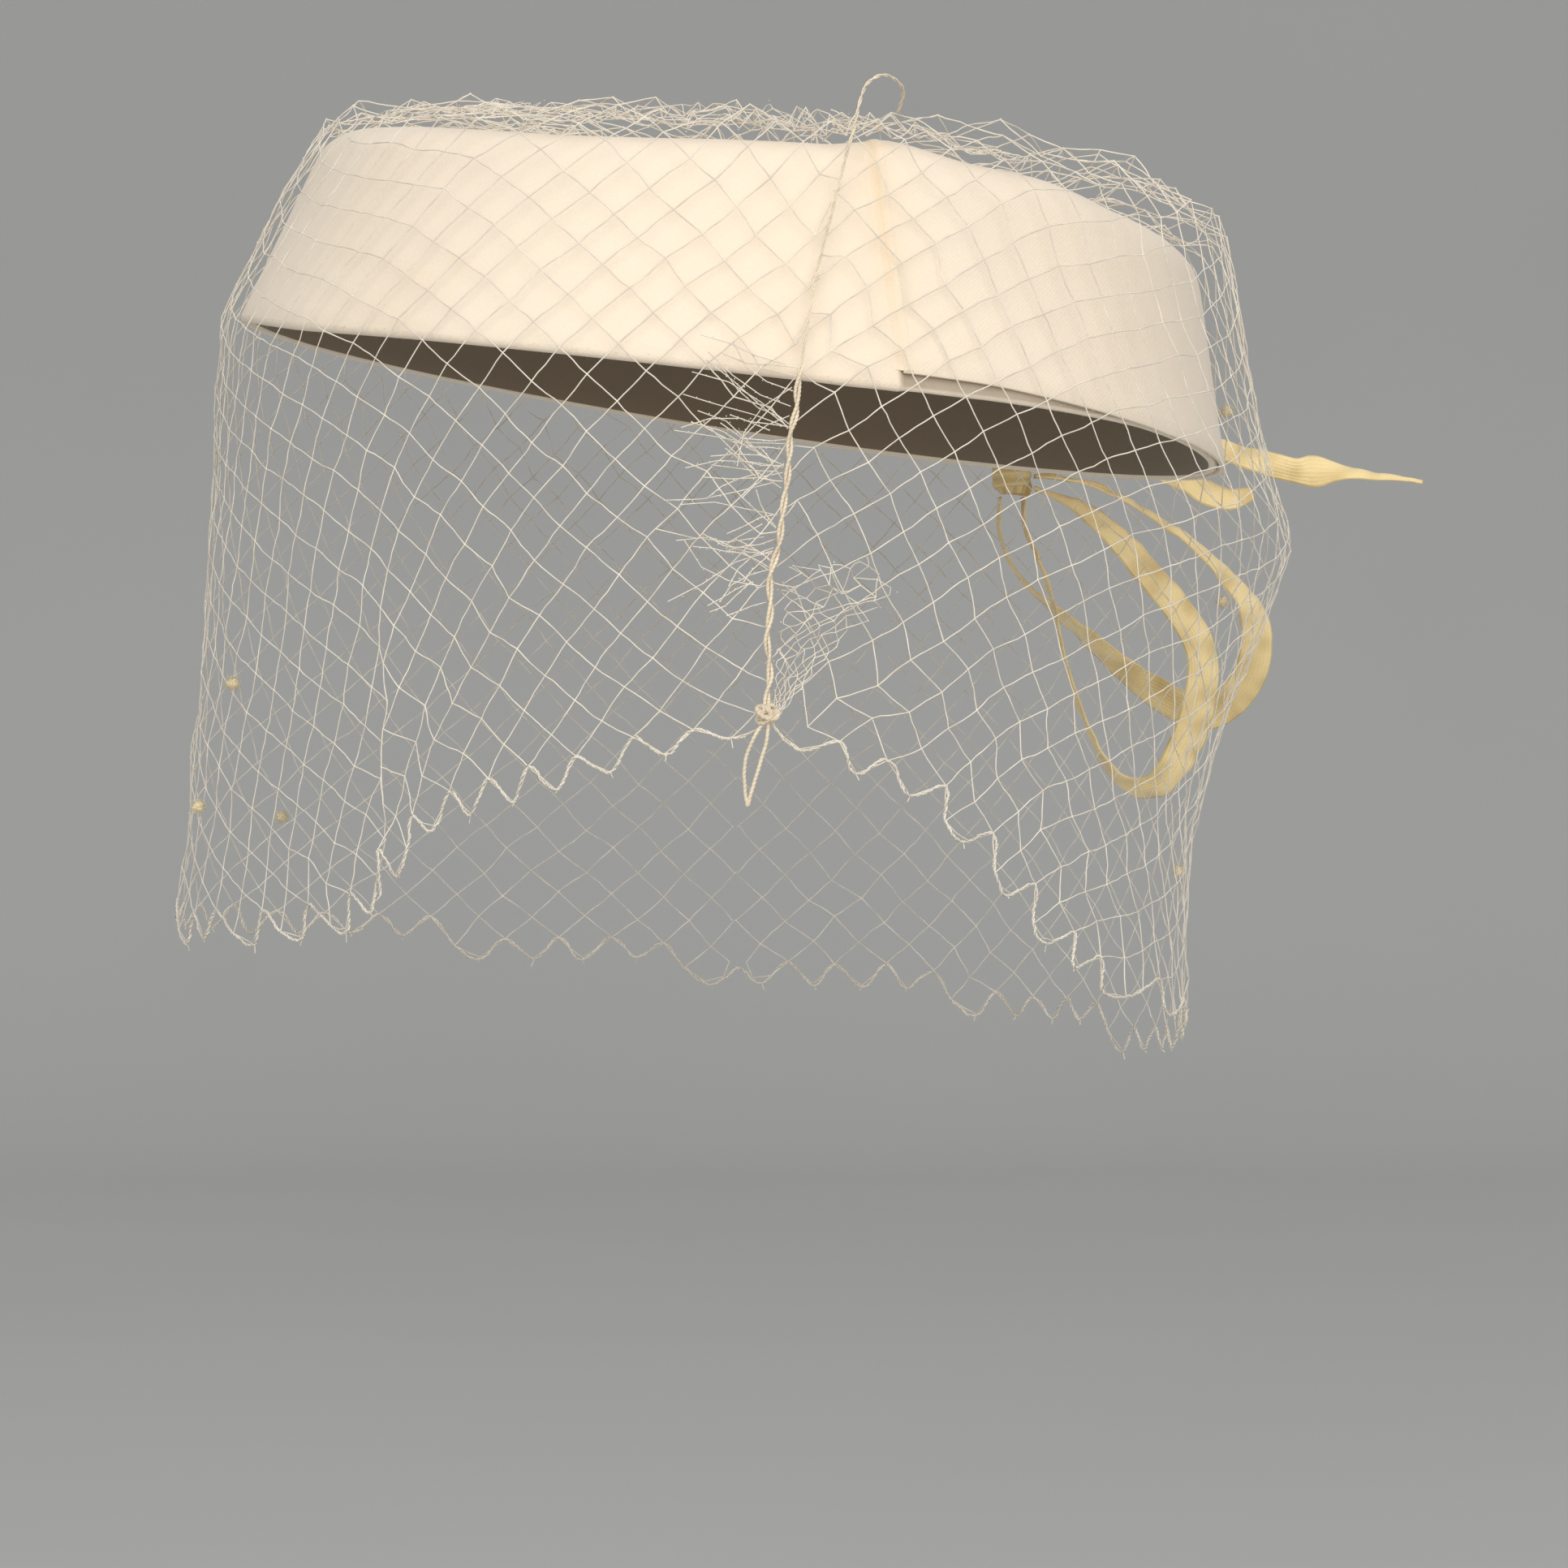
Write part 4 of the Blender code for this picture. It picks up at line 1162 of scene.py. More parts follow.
def band_stations(steps):
    """(azimuth, share of the setback under the lapped panel)"""
    seam = seam_azimuth(CROWN_HEIGHT / 2)
    step = 360 / steps
    special = [
        (seam - SEAM_VALLEY * share, ease((0.9 - share) / 1.3))
        for share in (2.4, 1.8, 1.4, 1.1, 0.9, 0.75, 0.6, 0.45, 0.3, 0.15, 0, -0.2, -0.4)
    ]
    special += [(SEAM_BACK + SEAM_VALLEY / 4, 1), (SEAM_BACK + SEAM_VALLEY, 0)]
    plain = []
    for k in range(steps):
        azimuth = -180 + step * (k + 0.5)
        if all(abs(azimuth - at) > step / 3 for at, _ in special):
            plain.append((azimuth, int(seam < azimuth < SEAM_BACK)))
    return sorted(plain + special)


def seam_yellowing(azimuth, height):
    """How yellow the cloth is beside the front seam, most of all at its top."""
    away = abs(azimuth - seam_azimuth(height))
    share = min(max(height / CROWN_HEIGHT, 0), 1)
    core = math.exp(-((away / 0.9) ** 2))
    halo = math.exp(-((away / 3.0) ** 2))
    return mix(0.35, 0.8, share) * (0.3 * core + 0.36 * halo)


def lap_foot(azimuth):
    return rim_height(azimuth) + LAP_LIFT * around(LAP_EDGE, azimuth, "lift")


def relieved(section, azimuth):
    """The section with the soft waves and dents of its cloth."""
    return [point + Vector((cloth_relief(azimuth, point.y), 0)) for point in section]


def round_under(outer, inner, width, depth, steps):
    """The rounded lower edge between an outer and an inner face."""
    low = outer[0].lerp(inner[0], 0.5)
    angles = [math.pi * k / steps for k in range(1, steps)]
    return [low + Vector((width * math.cos(angle), -depth * math.sin(angle))) for angle in angles]


def band_mesh(settings):
    setback = LAP_THICKNESS + GAP - LAP_PROUD
    half = BAND_THICKNESS / 2
    rings, yellow, shade = [], [], []
    for azimuth, under_lap in band_stations(settings.steps):
        outer = outer_section(azimuth, rim_height(azimuth) + half, 12, 8)
        inner = inward(outer, BAND_THICKNESS)
        outer = inward(outer, setback * under_lap)
        outer = [
            point + Vector((cloth_relief(azimuth, point.y), 0)) * ease((point.y + 4 * MM) / (4 * MM))
            for point in outer
        ]
        width = (outer[0] - inner[0]).length / 2
        section = outer + inner[::-1] + round_under(outer, inner, width, width * 0.85, 6)
        ring, ring_yellow, ring_shade = [], [], []
        groove = lap_foot(azimuth) + 0.6 * MM
        for k, point in enumerate(section):
            station = band_station(azimuth, point.y)
            ring.append(crown_point(station, point.x, point.y))
            outside = k < len(outer)
            ring_yellow.append(seam_yellowing(station, point.y) if outside else 0)
            # Painted shade: the inside faces get a strong shade mark, and the band's face just above its
            # rim, under the lapped panel's foot, gets a painted groove shadow.
            inside = len(outer) <= k < len(outer) + len(inner)
            over_rim = point.y - rim_height(azimuth)
            under = under_lap * outside * ease((over_rim - 0.3 * MM) / (1 * MM))
            under *= ease((groove + 1.5 * MM - point.y) / (1.5 * MM))
            ring_shade.append(0.9 if inside else 0.75 * under)
        rings.append(ring)
        yellow.append(ring_yellow)
        shade.append(ring_shade)
    return loft("crown_band", rings, True, True, {"yellowing": yellow, "shade": shade})


def lap_mesh(settings):
    start = seam_azimuth(CROWN_HEIGHT / 2)
    step = 360 / settings.steps
    count = int((SEAM_BACK - start) / step)
    shares = [0, 0.0006, 0.0018, 0.004] + [k / count for k in range(2, count)] + [0.998, 1]
    fullness = {0: 0.25, 1: 0.7, 2: 0.93}
    rings, yellow, shade = [], [], []
    for k, share in enumerate(shares):
        azimuth = mix(start, SEAM_BACK, share)
        face = outer_section(azimuth, lap_foot(azimuth) + LAP_THICKNESS / 2, 12, 8)
        face = relieved(face, azimuth)
        full = fullness.get(k, fullness.get(len(shares) - 1 - k, 1))
        middle = LAP_THICKNESS / 2 - LAP_PROUD
        outer = inward(face, middle - full * LAP_THICKNESS / 2)
        inner = inward(face, middle + full * LAP_THICKNESS / 2)
        hem = round_under(outer, inner, full * LAP_THICKNESS / 2, 0.45 * MM, 4)
        ring, old = [], []
        for point in outer + inner[::-1] + hem:
            place = mix(seam_azimuth(point.y), SEAM_BACK, share)
            ring.append(crown_point(place, point.x, point.y))
            old.append(seam_yellowing(place, point.y) * 0.8)
        rings.append(ring)
        yellow.append(old)
        shade.append([0.0] * len(ring))
    return loft("lap_panel", rings, True, False, {"yellowing": yellow, "shade": shade})


def fell_mesh():
    """The pressed seam: a soft shallow groove from the band's face up to the lapped panel's."""
    profile = (
        (-1.3, -0.08),
        (-1.0, 0.05),
        (-0.75, 0.06),
        (-0.5, 0.0),
        (-0.25, 0.0),
        (0.0, 0.12),
        (0.25, 0.34),
        (0.5, 0.46),
        (0.8, 0.47),
        (1.1, 0.44),
        (1.3, 0.30),
    )
    sections = []
    for away, lift in profile + tuple((away, lift - 0.3) for away, lift in reversed(profile)):
        azimuth = seam_azimuth(CROWN_HEIGHT / 2) + away
        face = outer_section(azimuth, lap_foot(azimuth) + 0.45 * LAP_THICKNESS, 24, 8)
        face = relieved(face, azimuth)
        sections.append([(away, point) for point in inward(face, -lift * MM)])
    rings, yellow = [], []
    for row in zip(*sections):
        rings.append([
            crown_point(seam_azimuth(point.y) + away, point.x, point.y) for away, point in row
        ])
        yellow.append([
            mix(0.22, 0.42, point.y / CROWN_HEIGHT) * math.exp(-(((away + 0.05) / 0.75) ** 2))
            + 0.4 * seam_yellowing(seam_azimuth(point.y) + away, point.y)
            for away, point in row
        ])
    shade = [[0.0] * len(row) for row in yellow]
    return loft("pressed_seam", rings, True, False, {"yellowing": yellow, "shade": shade})


def tip_mesh(settings):
    """The flat top: rings from its middle to its edge, over the edge and back underneath."""
    reach_x = RIM_WIDTH / 2 - lip_inset() - GAP
    shares = [0.04, 0.2, 0.4, 0.6, 0.75, 0.86, 0.93, 0.97, 0.99, 1.0]
    rings, shade, yellow = [], [], []
    for under in (False, True):
        for share in reversed(shares) if under else shares:
            ring, marks, old = [], [], []
            for k in range(settings.steps // 2):
                azimuth = -180 + 720 * k / settings.steps
                angle = math.radians(azimuth)
                reach = share * reach_x / (RIM_WIDTH / 2 - WALL_LEAN)
                turned = Vector((math.sin(angle), math.cos(angle), 0))
                wave = 0.5 * MM * noise.noise(turned * share * 4)
                round_over = 0.45 * MM * ease((share - 0.96) / 0.04)
                rise = -TIP_THICKNESS if under else wave * (1 - share) - round_over
                inset = RIM_WIDTH / 2 - share * reach_x
                point = crown_point(azimuth, inset, top_height(azimuth, reach) + rise)
                point.y += (RIM_DEPTH - RIM_WIDTH) / 2 * (1 - share) * math.cos(angle)
                ring.append(point)
                # Painted shade on the underside of the top.
                marks.append(0.9 if under else 0.0)
                old.append(0.0 if under else 0.35 * ease((share - 0.9) / 0.1))
            rings.append(ring)
            shade.append(marks)
            yellow.append(old)
    return loft("crown_tip", rings, True, False, {"yellowing": yellow, "shade": shade})


def rim_strip(settings):
    """A narrow strip round the rim's lower edge, for its loose fibres."""
    rings = []
    for k in range(settings.steps):
        azimuth = -180 + 360 * k / settings.steps
        low = rim_height(azimuth)
        rings.append(
            [
                crown_point(azimuth, 0.3 * MM, low + 1.1 * MM),
                crown_point(azimuth, 0.7 * MM, low + 0.35 * MM),
                crown_point(azimuth, 1.5 * MM, low + 0.3 * MM),
            ]
        )
    mesh = loft("rim_strip", rings, False, True, {})
    centre = Vector((0, 0, 20 * MM))
    faces_outward(mesh, centre)
    return linked("rim_strip", mesh)


class PILLBOX_OT_crown(bpy.types.Operator):
    """Makes the crepe band, the lapped panel with its pressed seam and the flat top"""

    bl_idname = "pillbox.crown"
    bl_label = "Crown"

    def execute(self, context):
        settings = context.scene.pillbox_crown
        crepe = shared_material("cream crepe", crepe_material, settings)
        makers = (("crown_band", band_mesh), ("lap_panel", lap_mesh), ("crown_tip", tip_mesh))
        for node, make in makers:
            mesh = make(settings)
            faces_outward(mesh, Vector((0, 0, 0)) if node == "crown_tip" else shell_middle(mesh))
            mesh.materials.append(crepe)
            finish_piece(linked("crepe_" + node, mesh), "crepe", node)
        mesh = fell_mesh()
        faces_outward(mesh, shell_middle(mesh))
        mesh.materials.append(crepe)
        finish_piece(linked("pressed_seam", mesh), "crepe")
        return {"FINISHED"}


def shell_middle(mesh):
    """The mean of the mesh's points."""
    corners = np.array([vert.co for vert in mesh.vertices])
    return Vector(corners.mean(axis=0))


class PILLBOX_OT_fuzz(bpy.types.Operator):
    """Makes the loose fibres on the rim"""

    bl_idname = "pillbox.fuzz"
    bl_label = "Rim fuzz"

    def execute(self, context):
        settings = context.scene.pillbox_crown
        fibre = shared_material("crepe fibre", thread_material, settings.cloth)
        tree = shared_pattern("fibres", fuzz_pattern)
        values = {
            "Density": 1.6e6,
            "Length": settings.fuzz_length,
            "Thickness": 0.00006,
            "Splay": 1.1,
            "Seed": 3,
            "Keep Surface": False,
            "Material": fibre,
        }
        patterned("rim_fibres", tree, rim_strip(settings), values, "crepe")
        return {"FINISHED"}


# Net


def running_total(values, step):
    return np.concatenate(([0], np.cumsum((values[1:] + values[:-1]) / 2 * step)))


class HalfNet:
    """One half of the net, from the draw cord round to the back, as knots and threads."""

    def __init__(self, sheet, side, edge, seed):
        self.sheet = sheet
        self.side = side
        self.step = edge / math.sqrt(2)
        self.edge = edge
        self.last = COLUMNS[side]
        self.length = self.last * self.step
        self.random = np.random.default_rng(seed + side)
        self.columns = np.arange(-SPARE_COLUMNS, self.last + 1)
        self.rows = np.arange(LOWEST_ROW, HIGHEST_ROW + 1)
        self.lay_out()
        self.find_hem()
        self.connect()
        self.relax()

    def cord_azimuth(self, climb):
        route = CORD_ROUTE[CORD_DESCENT:]
        climbs = [self.sheet.climb_of(row.azimuth, row.level) for row in route]
        return np.interp(climb, climbs[::-1], [row.azimuth for row in route][::-1])

    def azimuth(self, distance, climb):
        turn = (180 - self.side * NET_FRONT) / self.length
        by_cord = np.clip(1 - distance / (80 * MM), 0, 1)
        sway = (self.cord_azimuth(climb) - NET_FRONT) * by_cord
        return NET_FRONT + self.side * distance * turn + sway

    def falls(self):
        """Fall and lean of the rows at the rim and at the hem, for a fine run of distances."""
        at, rim_slope, hem_slope = np.array(ROW_FALL[self.side], float).T
        fine = np.linspace(0, self.length, 601)
        turn = np.radians(NET_FRONT + self.side * fine / self.length * (180 - self.side * NET_FRONT))
        tilt = self.side * math.sin(SIDE_TILT) * np.cos(turn)
        made = []
        for slopes in (rim_slope, hem_slope):
            slope = np.interp(fine, at * MM, slopes)
            fall = running_total(slope - tilt, fine[1])
            fall += (BACK_FALL - fall[-1]) * (fine / self.length) ** 2
            made.append((slope, fall))
        return fine, made

    def lay_out(self):
        """Distance from the cord and climb of each crossing, by column and row."""
        column, row = np.meshgrid(self.columns, self.rows, indexing="ij")
        fine, ((rim_slope, rim_fall), (hem_slope, hem_fall)) = self.falls()
        knot = CORD_ROUTE[-1]
        knot_climb = self.sheet.climb_of(knot.azimuth, knot.level) - CORD_DIAMETER - KNOT_HEIGHT / 2
        knot_row = round(knot_climb / self.step)
        height = np.where(row < 0, row * knot_climb / knot_row, row * self.step)
        depth = np.clip(height / knot_climb, 0, 1)
        distance = column * self.step
        for _ in range(30):
            rim = np.interp(distance, fine, rim_slope)
            hem = np.interp(distance, fine, hem_slope)
            lean = height * (rim + (hem - rim) * depth / 2)
            distance = (distance + column * self.step + lean) / 2
        fan = FAN_ROWS[self.side]
        gathered = np.clip(row - knot_row, -fan, 0) * np.exp(-np.maximum(distance, 0) / (7 * MM))
        fall = mix(np.interp(distance, fine, rim_fall), np.interp(distance, fine, hem_fall), depth)
        self.distance = distance
        self.climb = height - gathered * self.step - fall

    def find_hem(self):
        """The row of the hem in each column, which steps up or down by one at every crossing."""
        azimuth = self.azimuth(self.distance, self.climb)
        over = self.climb - self.sheet.at(self.sheet.hem_climb, azimuth)
        dip, reach = HEM_DIP[self.side]
        over += dip * np.exp(-((np.maximum(self.distance, 0) / reach) ** 1.5))
        self.hem = {}
        row = None
        for k, column in enumerate(self.columns):
            above = np.flatnonzero(over[k] >= 0)
            first = above[0]
            share = over[k, first] / (over[k, first] - over[k, first - 1])
            wanted = self.rows[first] - share
            if self.distance[k, first] < 0.6 * MM:
                continue
            if row is None:
                row = int(round(wanted))
                row += (row + column) % 2
            else:
                row += 1 if wanted > row else -1
            self.hem[int(column)] = row

    def connect(self):
        azimuth = self.azimuth(self.distance, self.climb)
        top = self.sheet.at(self.sheet.top_climb, azimuth) - 1 * MM
        inside = (self.distance >= 0) & (self.climb <= top)
        self.index, self.points = {}, []
        for k, column in enumerate(self.columns):
            for n, row in enumerate(self.rows):
                if (column + row) % 2 == 0 and inside[k, n] and row >= self.hem.get(int(column), LOWEST_ROW):
                    if int(column) not in self.hem and self.climb[k, n] < -0.45 * HEM_DROP:
                        continue
                    self.index[int(column), int(row)] = len(self.points)
                    self.points.append((self.distance[k, n], self.climb[k, n]))
        self.threads, self.ends = [], []
        for (column, row), here in list(self.index.items()):
            for right, up in ((1, 1), (1, -1), (-1, 1), (-1, -1)):
                there = (column + right, row + up)
                if there in self.index:
                    if right == 1:
                        self.threads.append((here, self.index[there]))
                    continue
                k, n = there[0] + SPARE_COLUMNS, there[1] - LOWEST_ROW
                if not (0 <= k < len(self.columns) and 0 <= n < len(self.rows)):
                    continue
                self.add_end(here, self.distance[k, n], self.climb[k, n])
        self.points = np.array(self.points)
        self.back = self.points[:, 0] > self.length - 0.1 * MM
        hem = [self.index[place] for place in sorted(self.hem.items()) if place in self.index]
        drawn = self.points[hem]
        middle = (drawn[2:] + drawn[:-2]) / 2
        drawn[1:-1] += (middle - drawn[1:-1]) * HEM_PULL[self.side]
        drawn[self.back[hem]] = self.points[hem][self.back[hem]]
        self.points[hem] = drawn

    def add_end(self, here, distance, climb):
        """A thread cut off where it meets the cord."""
        start, low = self.points[here]
        if distance < 0 < start:
            share = start / (start - distance)
            self.threads.append((here, len(self.points)))
            self.ends.append(len(self.points))
            self.points.append((0.0, mix(low, climb, share)))

    def relax(self):
        """Evens out the threads' lengths, with the net's own edges and its top held."""
        threads = np.array(self.threads)
        count = np.bincount(threads.ravel(), minlength=len(self.points))
        held = (count < 4) | self.back | (self.points[:, 1] > HELD_ABOVE)
        threads = threads[~np.isin(threads[:, 1], self.ends)]
        azimuth = self.azimuth(self.points[:, 0], self.points[:, 1])
        spread = np.clip(self.sheet.read(self.sheet.spread, azimuth, self.points[:, 1]), 0.5, 1.5)
        middle = (spread[threads[:, 0]] + spread[threads[:, 1]]) / 2
        for _ in range(RELAX_ROUNDS):
            run = self.points[threads[:, 1]] - self.points[threads[:, 0]]
            run[:, :1] *= middle
            length = np.linalg.norm(run, axis=1, keepdims=True)
            pull = run * (1 - self.edge / np.maximum(length, 1e-6)) * 0.5
            pull[:, :1] /= middle
            moved = np.zeros_like(self.points)
            np.add.at(moved, threads[:, 0], pull)
            np.add.at(moved, threads[:, 1], -pull)
            moved /= np.maximum(count, 1)[:, None]
            self.points[~held] += moved[~held]

    def pleated(self, distance, climb):
        """Draws the cloth beyond the pleat in over itself, more and more towards the hem."""
        if self.side > 0:
            return distance
        low = np.clip((-climb - 22 * MM) / (40 * MM), 0, 1)
        taken = np.clip((distance - PLEAT_AT) / PLEAT_WIDTH, 0, 1)
        given_back = np.clip((distance - PLEAT_AT - PLEAT_WIDTH) / (70 * MM), 0, 1)
        return distance - PLEAT_DEPTH * low * taken * (1 - given_back)

    def lifts(self, azimuth, climb, distance):
        """How far each crossing stands over the net's inner face."""
        edge = self.sheet.at(self.sheet.edge_climb, azimuth)
        chance = self.random.random(len(climb))
        waves = np.array([
            noise.noise(Vector((a * 0.09, c * 60, 3.0))) for a, c in zip(azimuth, climb)
        ])
        hanging = 0.4 + 0.4 * chance + np.where(climb < 0, 1.5 * np.maximum(waves, 0), 0.1)
        peaks = -1.8 + 3.9 * chance**2 + 1.2 * waves
        share = np.clip((climb - edge + 3 * MM) / (7 * MM), 0, 1)
        lift = hanging * (1 - share) + peaks * share
        off_edge = np.abs(climb - edge) / MM
        hugging = np.clip((-azimuth - 35) / 30, 0, 1) * np.clip((160 + azimuth) / 30, 0, 1)
        lift -= 2.6 * hugging * np.exp(-((off_edge / 11) ** 2))
        puffed = np.clip((azimuth - 10) / 25, 0, 1) * np.clip((120 - azimuth) / 40, 0, 1)
        lift += 3.0 * puffed * np.exp(-(((climb - edge) / MM - 14) / 12) ** 2)
        lift -= 1.2 * puffed * np.exp(-((off_edge / 6) ** 2))
        if self.side < 0:
            fold = np.exp(-(((distance - PLEAT_AT) / MM - 3) / 3) ** 2)
            lift += 2.5 * fold * np.clip((-climb - 22 * MM) / (40 * MM), 0, 1) * (0.5 + chance)
        return lift * MM

    def knots(self):
        """Where the crossings are, with each hand-tied one a little off its place."""
        stray = self.random.normal(0, 0.25 * MM, (2, len(self.points)))
        stray[:, self.back] = 0
        distance = self.points[:, 0] + stray[0]
        climb = self.points[:, 1] + stray[1]
        lift = self.lifts(self.azimuth(distance, climb), climb, distance)
        lift[self.back] = 0.6 * MM
        azimuth = self.azimuth(self.pleated(distance, climb), climb)
        return self.sheet.place(azimuth, climb, lift)


def soft_path(nodes, steps, stray, random):
    """A curve through the nodes that rounds their corners, with a little crimp."""
    rows = [Vector(node) for node in nodes]
    points = []
    for k in range(len(rows) - 1):
        near = [rows[min(max(k + n, 0), len(rows) - 1)] for n in (-1, 0, 1, 2)]
        for n in range(steps):
            crimp = Vector(random.normal(0, stray, 3)) if n else Vector((0, 0, 0))
            points.append(smooth_between(*near, n / steps) + crimp)
    return points + [rows[-1]]


class PILLBOX_OT_net(bpy.types.Operator):
    """Makes the fine net in two halves that join at the back, with its crimped hem"""

    bl_idname = "pillbox.net"
    bl_label = "Net"

    def execute(self, context):
        settings = context.scene.pillbox_net
        sheet = NetSheet()
        thread = shared_material("net thread", thread_material, settings.colour)
        tree = shared_pattern("net threads", net_pattern)
        random = np.random.default_rng(settings.seed)
        values = {
            "Thread": settings.strand,
            "Knot": settings.strand * 1.7,
            "Slack": 0.0006,
            "Slack Size": 200.0,
            "Points": 5,
            "Sides": 4,
            "Seed": settings.seed,
            "Material": thread,
        }
        hems, tags, back = [], [], []
        for side, name in ((-1, "net_wearers_right"), (1, "net_wearers_left")):
            half = HalfNet(sheet, side, settings.mesh_edge, settings.seed)
            knots = half.knots()
            patterned(name, tree, wire(name + "_wire", knots, half.threads), values, "net", "veil")
            hem = [half.index[place] for place in sorted(half.hem.items()) if place in half.index]
            corners = [knots[k] for k in hem]
            hems.append(soft_path([np.array(knot_centre())] + corners, 6, HEM_CRIMP, random))
            back.append(corners[-1])
            for before, corner, after in zip(corners, corners[1:], corners[2:]):
                if corner[2] < min(before[2], after[2]):
                    splay = random.normal(0, 0.3 * MM, 3)
                    hang = np.array((0, 0, -random.uniform(0.5, 1.3) * MM))
                    tags.append([corner, corner + splay + hang])
        hems.append(soft_path(back, 6, HEM_CRIMP, random))
        values = {
            "Strand": settings.hem_strand * 0.6,
            "Strands": 2,
            "Lay Radius": settings.hem_strand * 0.2,
            "Lay": 0.0024,
            "Lobes": 3,
            "Lobe Depth": 0.18,
            "Twist": 0.0016,
            "Step": 0.0005,
            "Sides": 6,
            "Material": shared_material("hem thread", thread_material, settings.hem_colour),
        }
        twist = shared_pattern("twisted cord", twist_pattern)
        patterned("net_hem", twist, path_wire("hem_path", hems), values, "net", "veil")
        values = {
            "Strand": settings.strand,
            "Strands": 1,
            "Lay Radius": 0.0,
            "Lay": 1.0,
            "Lobes": 3,
            "Lobe Depth": 0.1,
            "Twist": 0.002,
            "Step": 0.0004,
            "Sides": 5,
            "Material": thread,
        }
        patterned("hem_thread_ends", twist, path_wire("tag_path", tags), values, "net", "veil")
        return {"FINISHED"}


# Draw cord


def cord_path(steps=240):
    """The draw cord's way, with small sways where it hangs."""
    points = []
    for k in range(steps + 1):
        row = smooth_rows(CORD_ROUTE, k / steps)
        height = GAP + CORD_DIAMETER / 2 + CORD_ARCH * max(row.height, 0)
        point = over_veil(row.azimuth, row.level, height)
        hanging = ease((row.level - RIM_LEVEL) / 0.6) * ease((CORD_ROUTE[-1].level - row.level) / 0.3)
        place = Vector((0, 0, point.z))
        sway = 0.9 * noise.noise(place * 70) + 0.5 * noise.noise(place * 190 + Vector((4, 0, 0)))
        points.append(point + Vector((1.3 * sway * mix(0.3, 1, hanging) * MM, 0, 0)))
    return points


def tail_path(steps=60):
    """The doubled end: a slim drop whose legs close at its foot."""
    top = knot_centre() - Vector((0, 0, KNOT_HEIGHT * 0.36))
    points = []
    for k in range(steps + 1):
        share = k / steps
        down = 1 - abs(2 * share - 1) ** 1.25
        width = math.sin(math.pi * down**0.75) * 0.66 + 0.16 * (1 - down)
        across = (-1 if share < 0.5 else 1) * width * TAIL_WIDTH / 2
        if 0.47 < share < 0.53:
            across *= abs(share - 0.5) / 0.03
        lean = -(2.9 * down + 0.7 * math.sin(math.pi * down)) * MM
        waver = 0.12 * MM * noise.noise(Vector((share * 14, 2, 0)))
        points.append(top + Vector((across + lean + waver, 0, -down * TAIL_LENGTH)))
    return points


def knot_path(steps=420):
    """Turns of cord wound over each other and pulled into an uneven lump."""
    centre = knot_centre()
    room = Vector((KNOT_WIDTH, KNOT_DEPTH, KNOT_HEIGHT)) / 2 - Vector((1, 1, 1)) * 0.36 * MM
    points = []
    for k in range(steps + 1):
        turn = math.tau * k / steps
        wind = 9 * turn
        swing = 2 * turn + 0.5 * math.sin(3 * turn)
        size = 0.86 + 0.2 * math.sin(5 * turn + 1)
        x = math.cos(wind) * math.cos(swing) - 0.38 * math.sin(wind) * math.sin(swing)
        z = math.cos(wind) * math.sin(swing) + 0.38 * math.sin(wind) * math.cos(swing)
        y = math.sin(wind) * 0.85
        points.append(centre + Vector((x * room.x, y * room.y, z * room.z)) * size)
    return points


class PILLBOX_OT_cord(bpy.types.Operator):
    """Makes the draw cord, its knot and its doubled tail"""

    bl_idname = "pillbox.cord"
    bl_label = "Draw cord"

    def execute(self, context):
        settings = context.scene.pillbox_cord
        cotton = shared_material("cotton cord", thread_material, settings.colour, 0.85, 0.3, 1800.0)
        tree = shared_pattern("twisted cord", twist_pattern)
        shared = {
            "Lobes": 3,
            "Lobe Depth": 0.16,
            "Twist": 0.0021,
            "Sides": 12,
            "Step": 0.0003,
            "Material": cotton,
        }
        path = cord_path()
        foot = knot_centre()
        path += [path[-1].lerp(foot, share) for share in (0.2, 0.4, 0.6, 0.8, 1.0)]
        at_rim = next(k for k, point in enumerate(path) if point.z < rim_height(NET_FRONT) and k > 60)
        thin = settings.strand * 0.5
        pieces = (
            (
                "drawn_cord_over_crown",
                path[: at_rim + 1],
                (2, thin, 0.15 * MM, settings.lay / 2),
                "draw_cord",
            ),
            (
                "twisted_draw_cord",
                path[at_rim:],
                (2, settings.strand, 0.31 * MM, settings.lay),
                "draw_cord",
            ),
            ("tied_cord_knot", knot_path(), (1, 0.72 * MM, 0.0, 1.0), "cord_knot"),
            ("doubled_cord_tail", tail_path(), (1, 0.6 * MM, 0.0, 1.0), "cord_tail"),
        )
        for name, way, make, node in pieces:
            values = dict(zip(("Strands", "Strand", "Lay Radius", "Lay"), make), **shared)
            patterned(name, tree, path_wire(name + "_path", [way]), values, "cord", node)
        return {"FINISHED"}


# Gathers beside the cord


class PILLBOX_OT_gathers(bpy.types.Operator):
    """Makes the frayed net ends and the puckered bunch beside the cord, and the folds on the crown"""

    bl_idname = "pillbox.gathers"
    bl_label = "Gathers"

    def execute(self, context):
        settings = context.scene.pillbox_net
        sheet = NetSheet()
        thread = shared_material("net thread", thread_material, settings.colour)
        tree = shared_pattern("net threads", net_pattern)
        values = {
            "Thread": settings.strand * 0.78,
            "Knot": settings.strand * 1.15,
            "Slack": 0.0005,
            "Slack Size": 300.0,
            "Points": 4,
            "Sides": 4,
            "Seed": settings.seed,
            "Material": thread,
        }
        makers = {
            "frayed_ends": frayed_wire,
            "puckered_bunch": bunch_wire,
            "crown_folds": crown_folds_wire,
        }
        for name, make in makers.items():
            patterned(name, tree, make(sheet, settings.seed), values, "net", "veil")
        return {"FINISHED"}


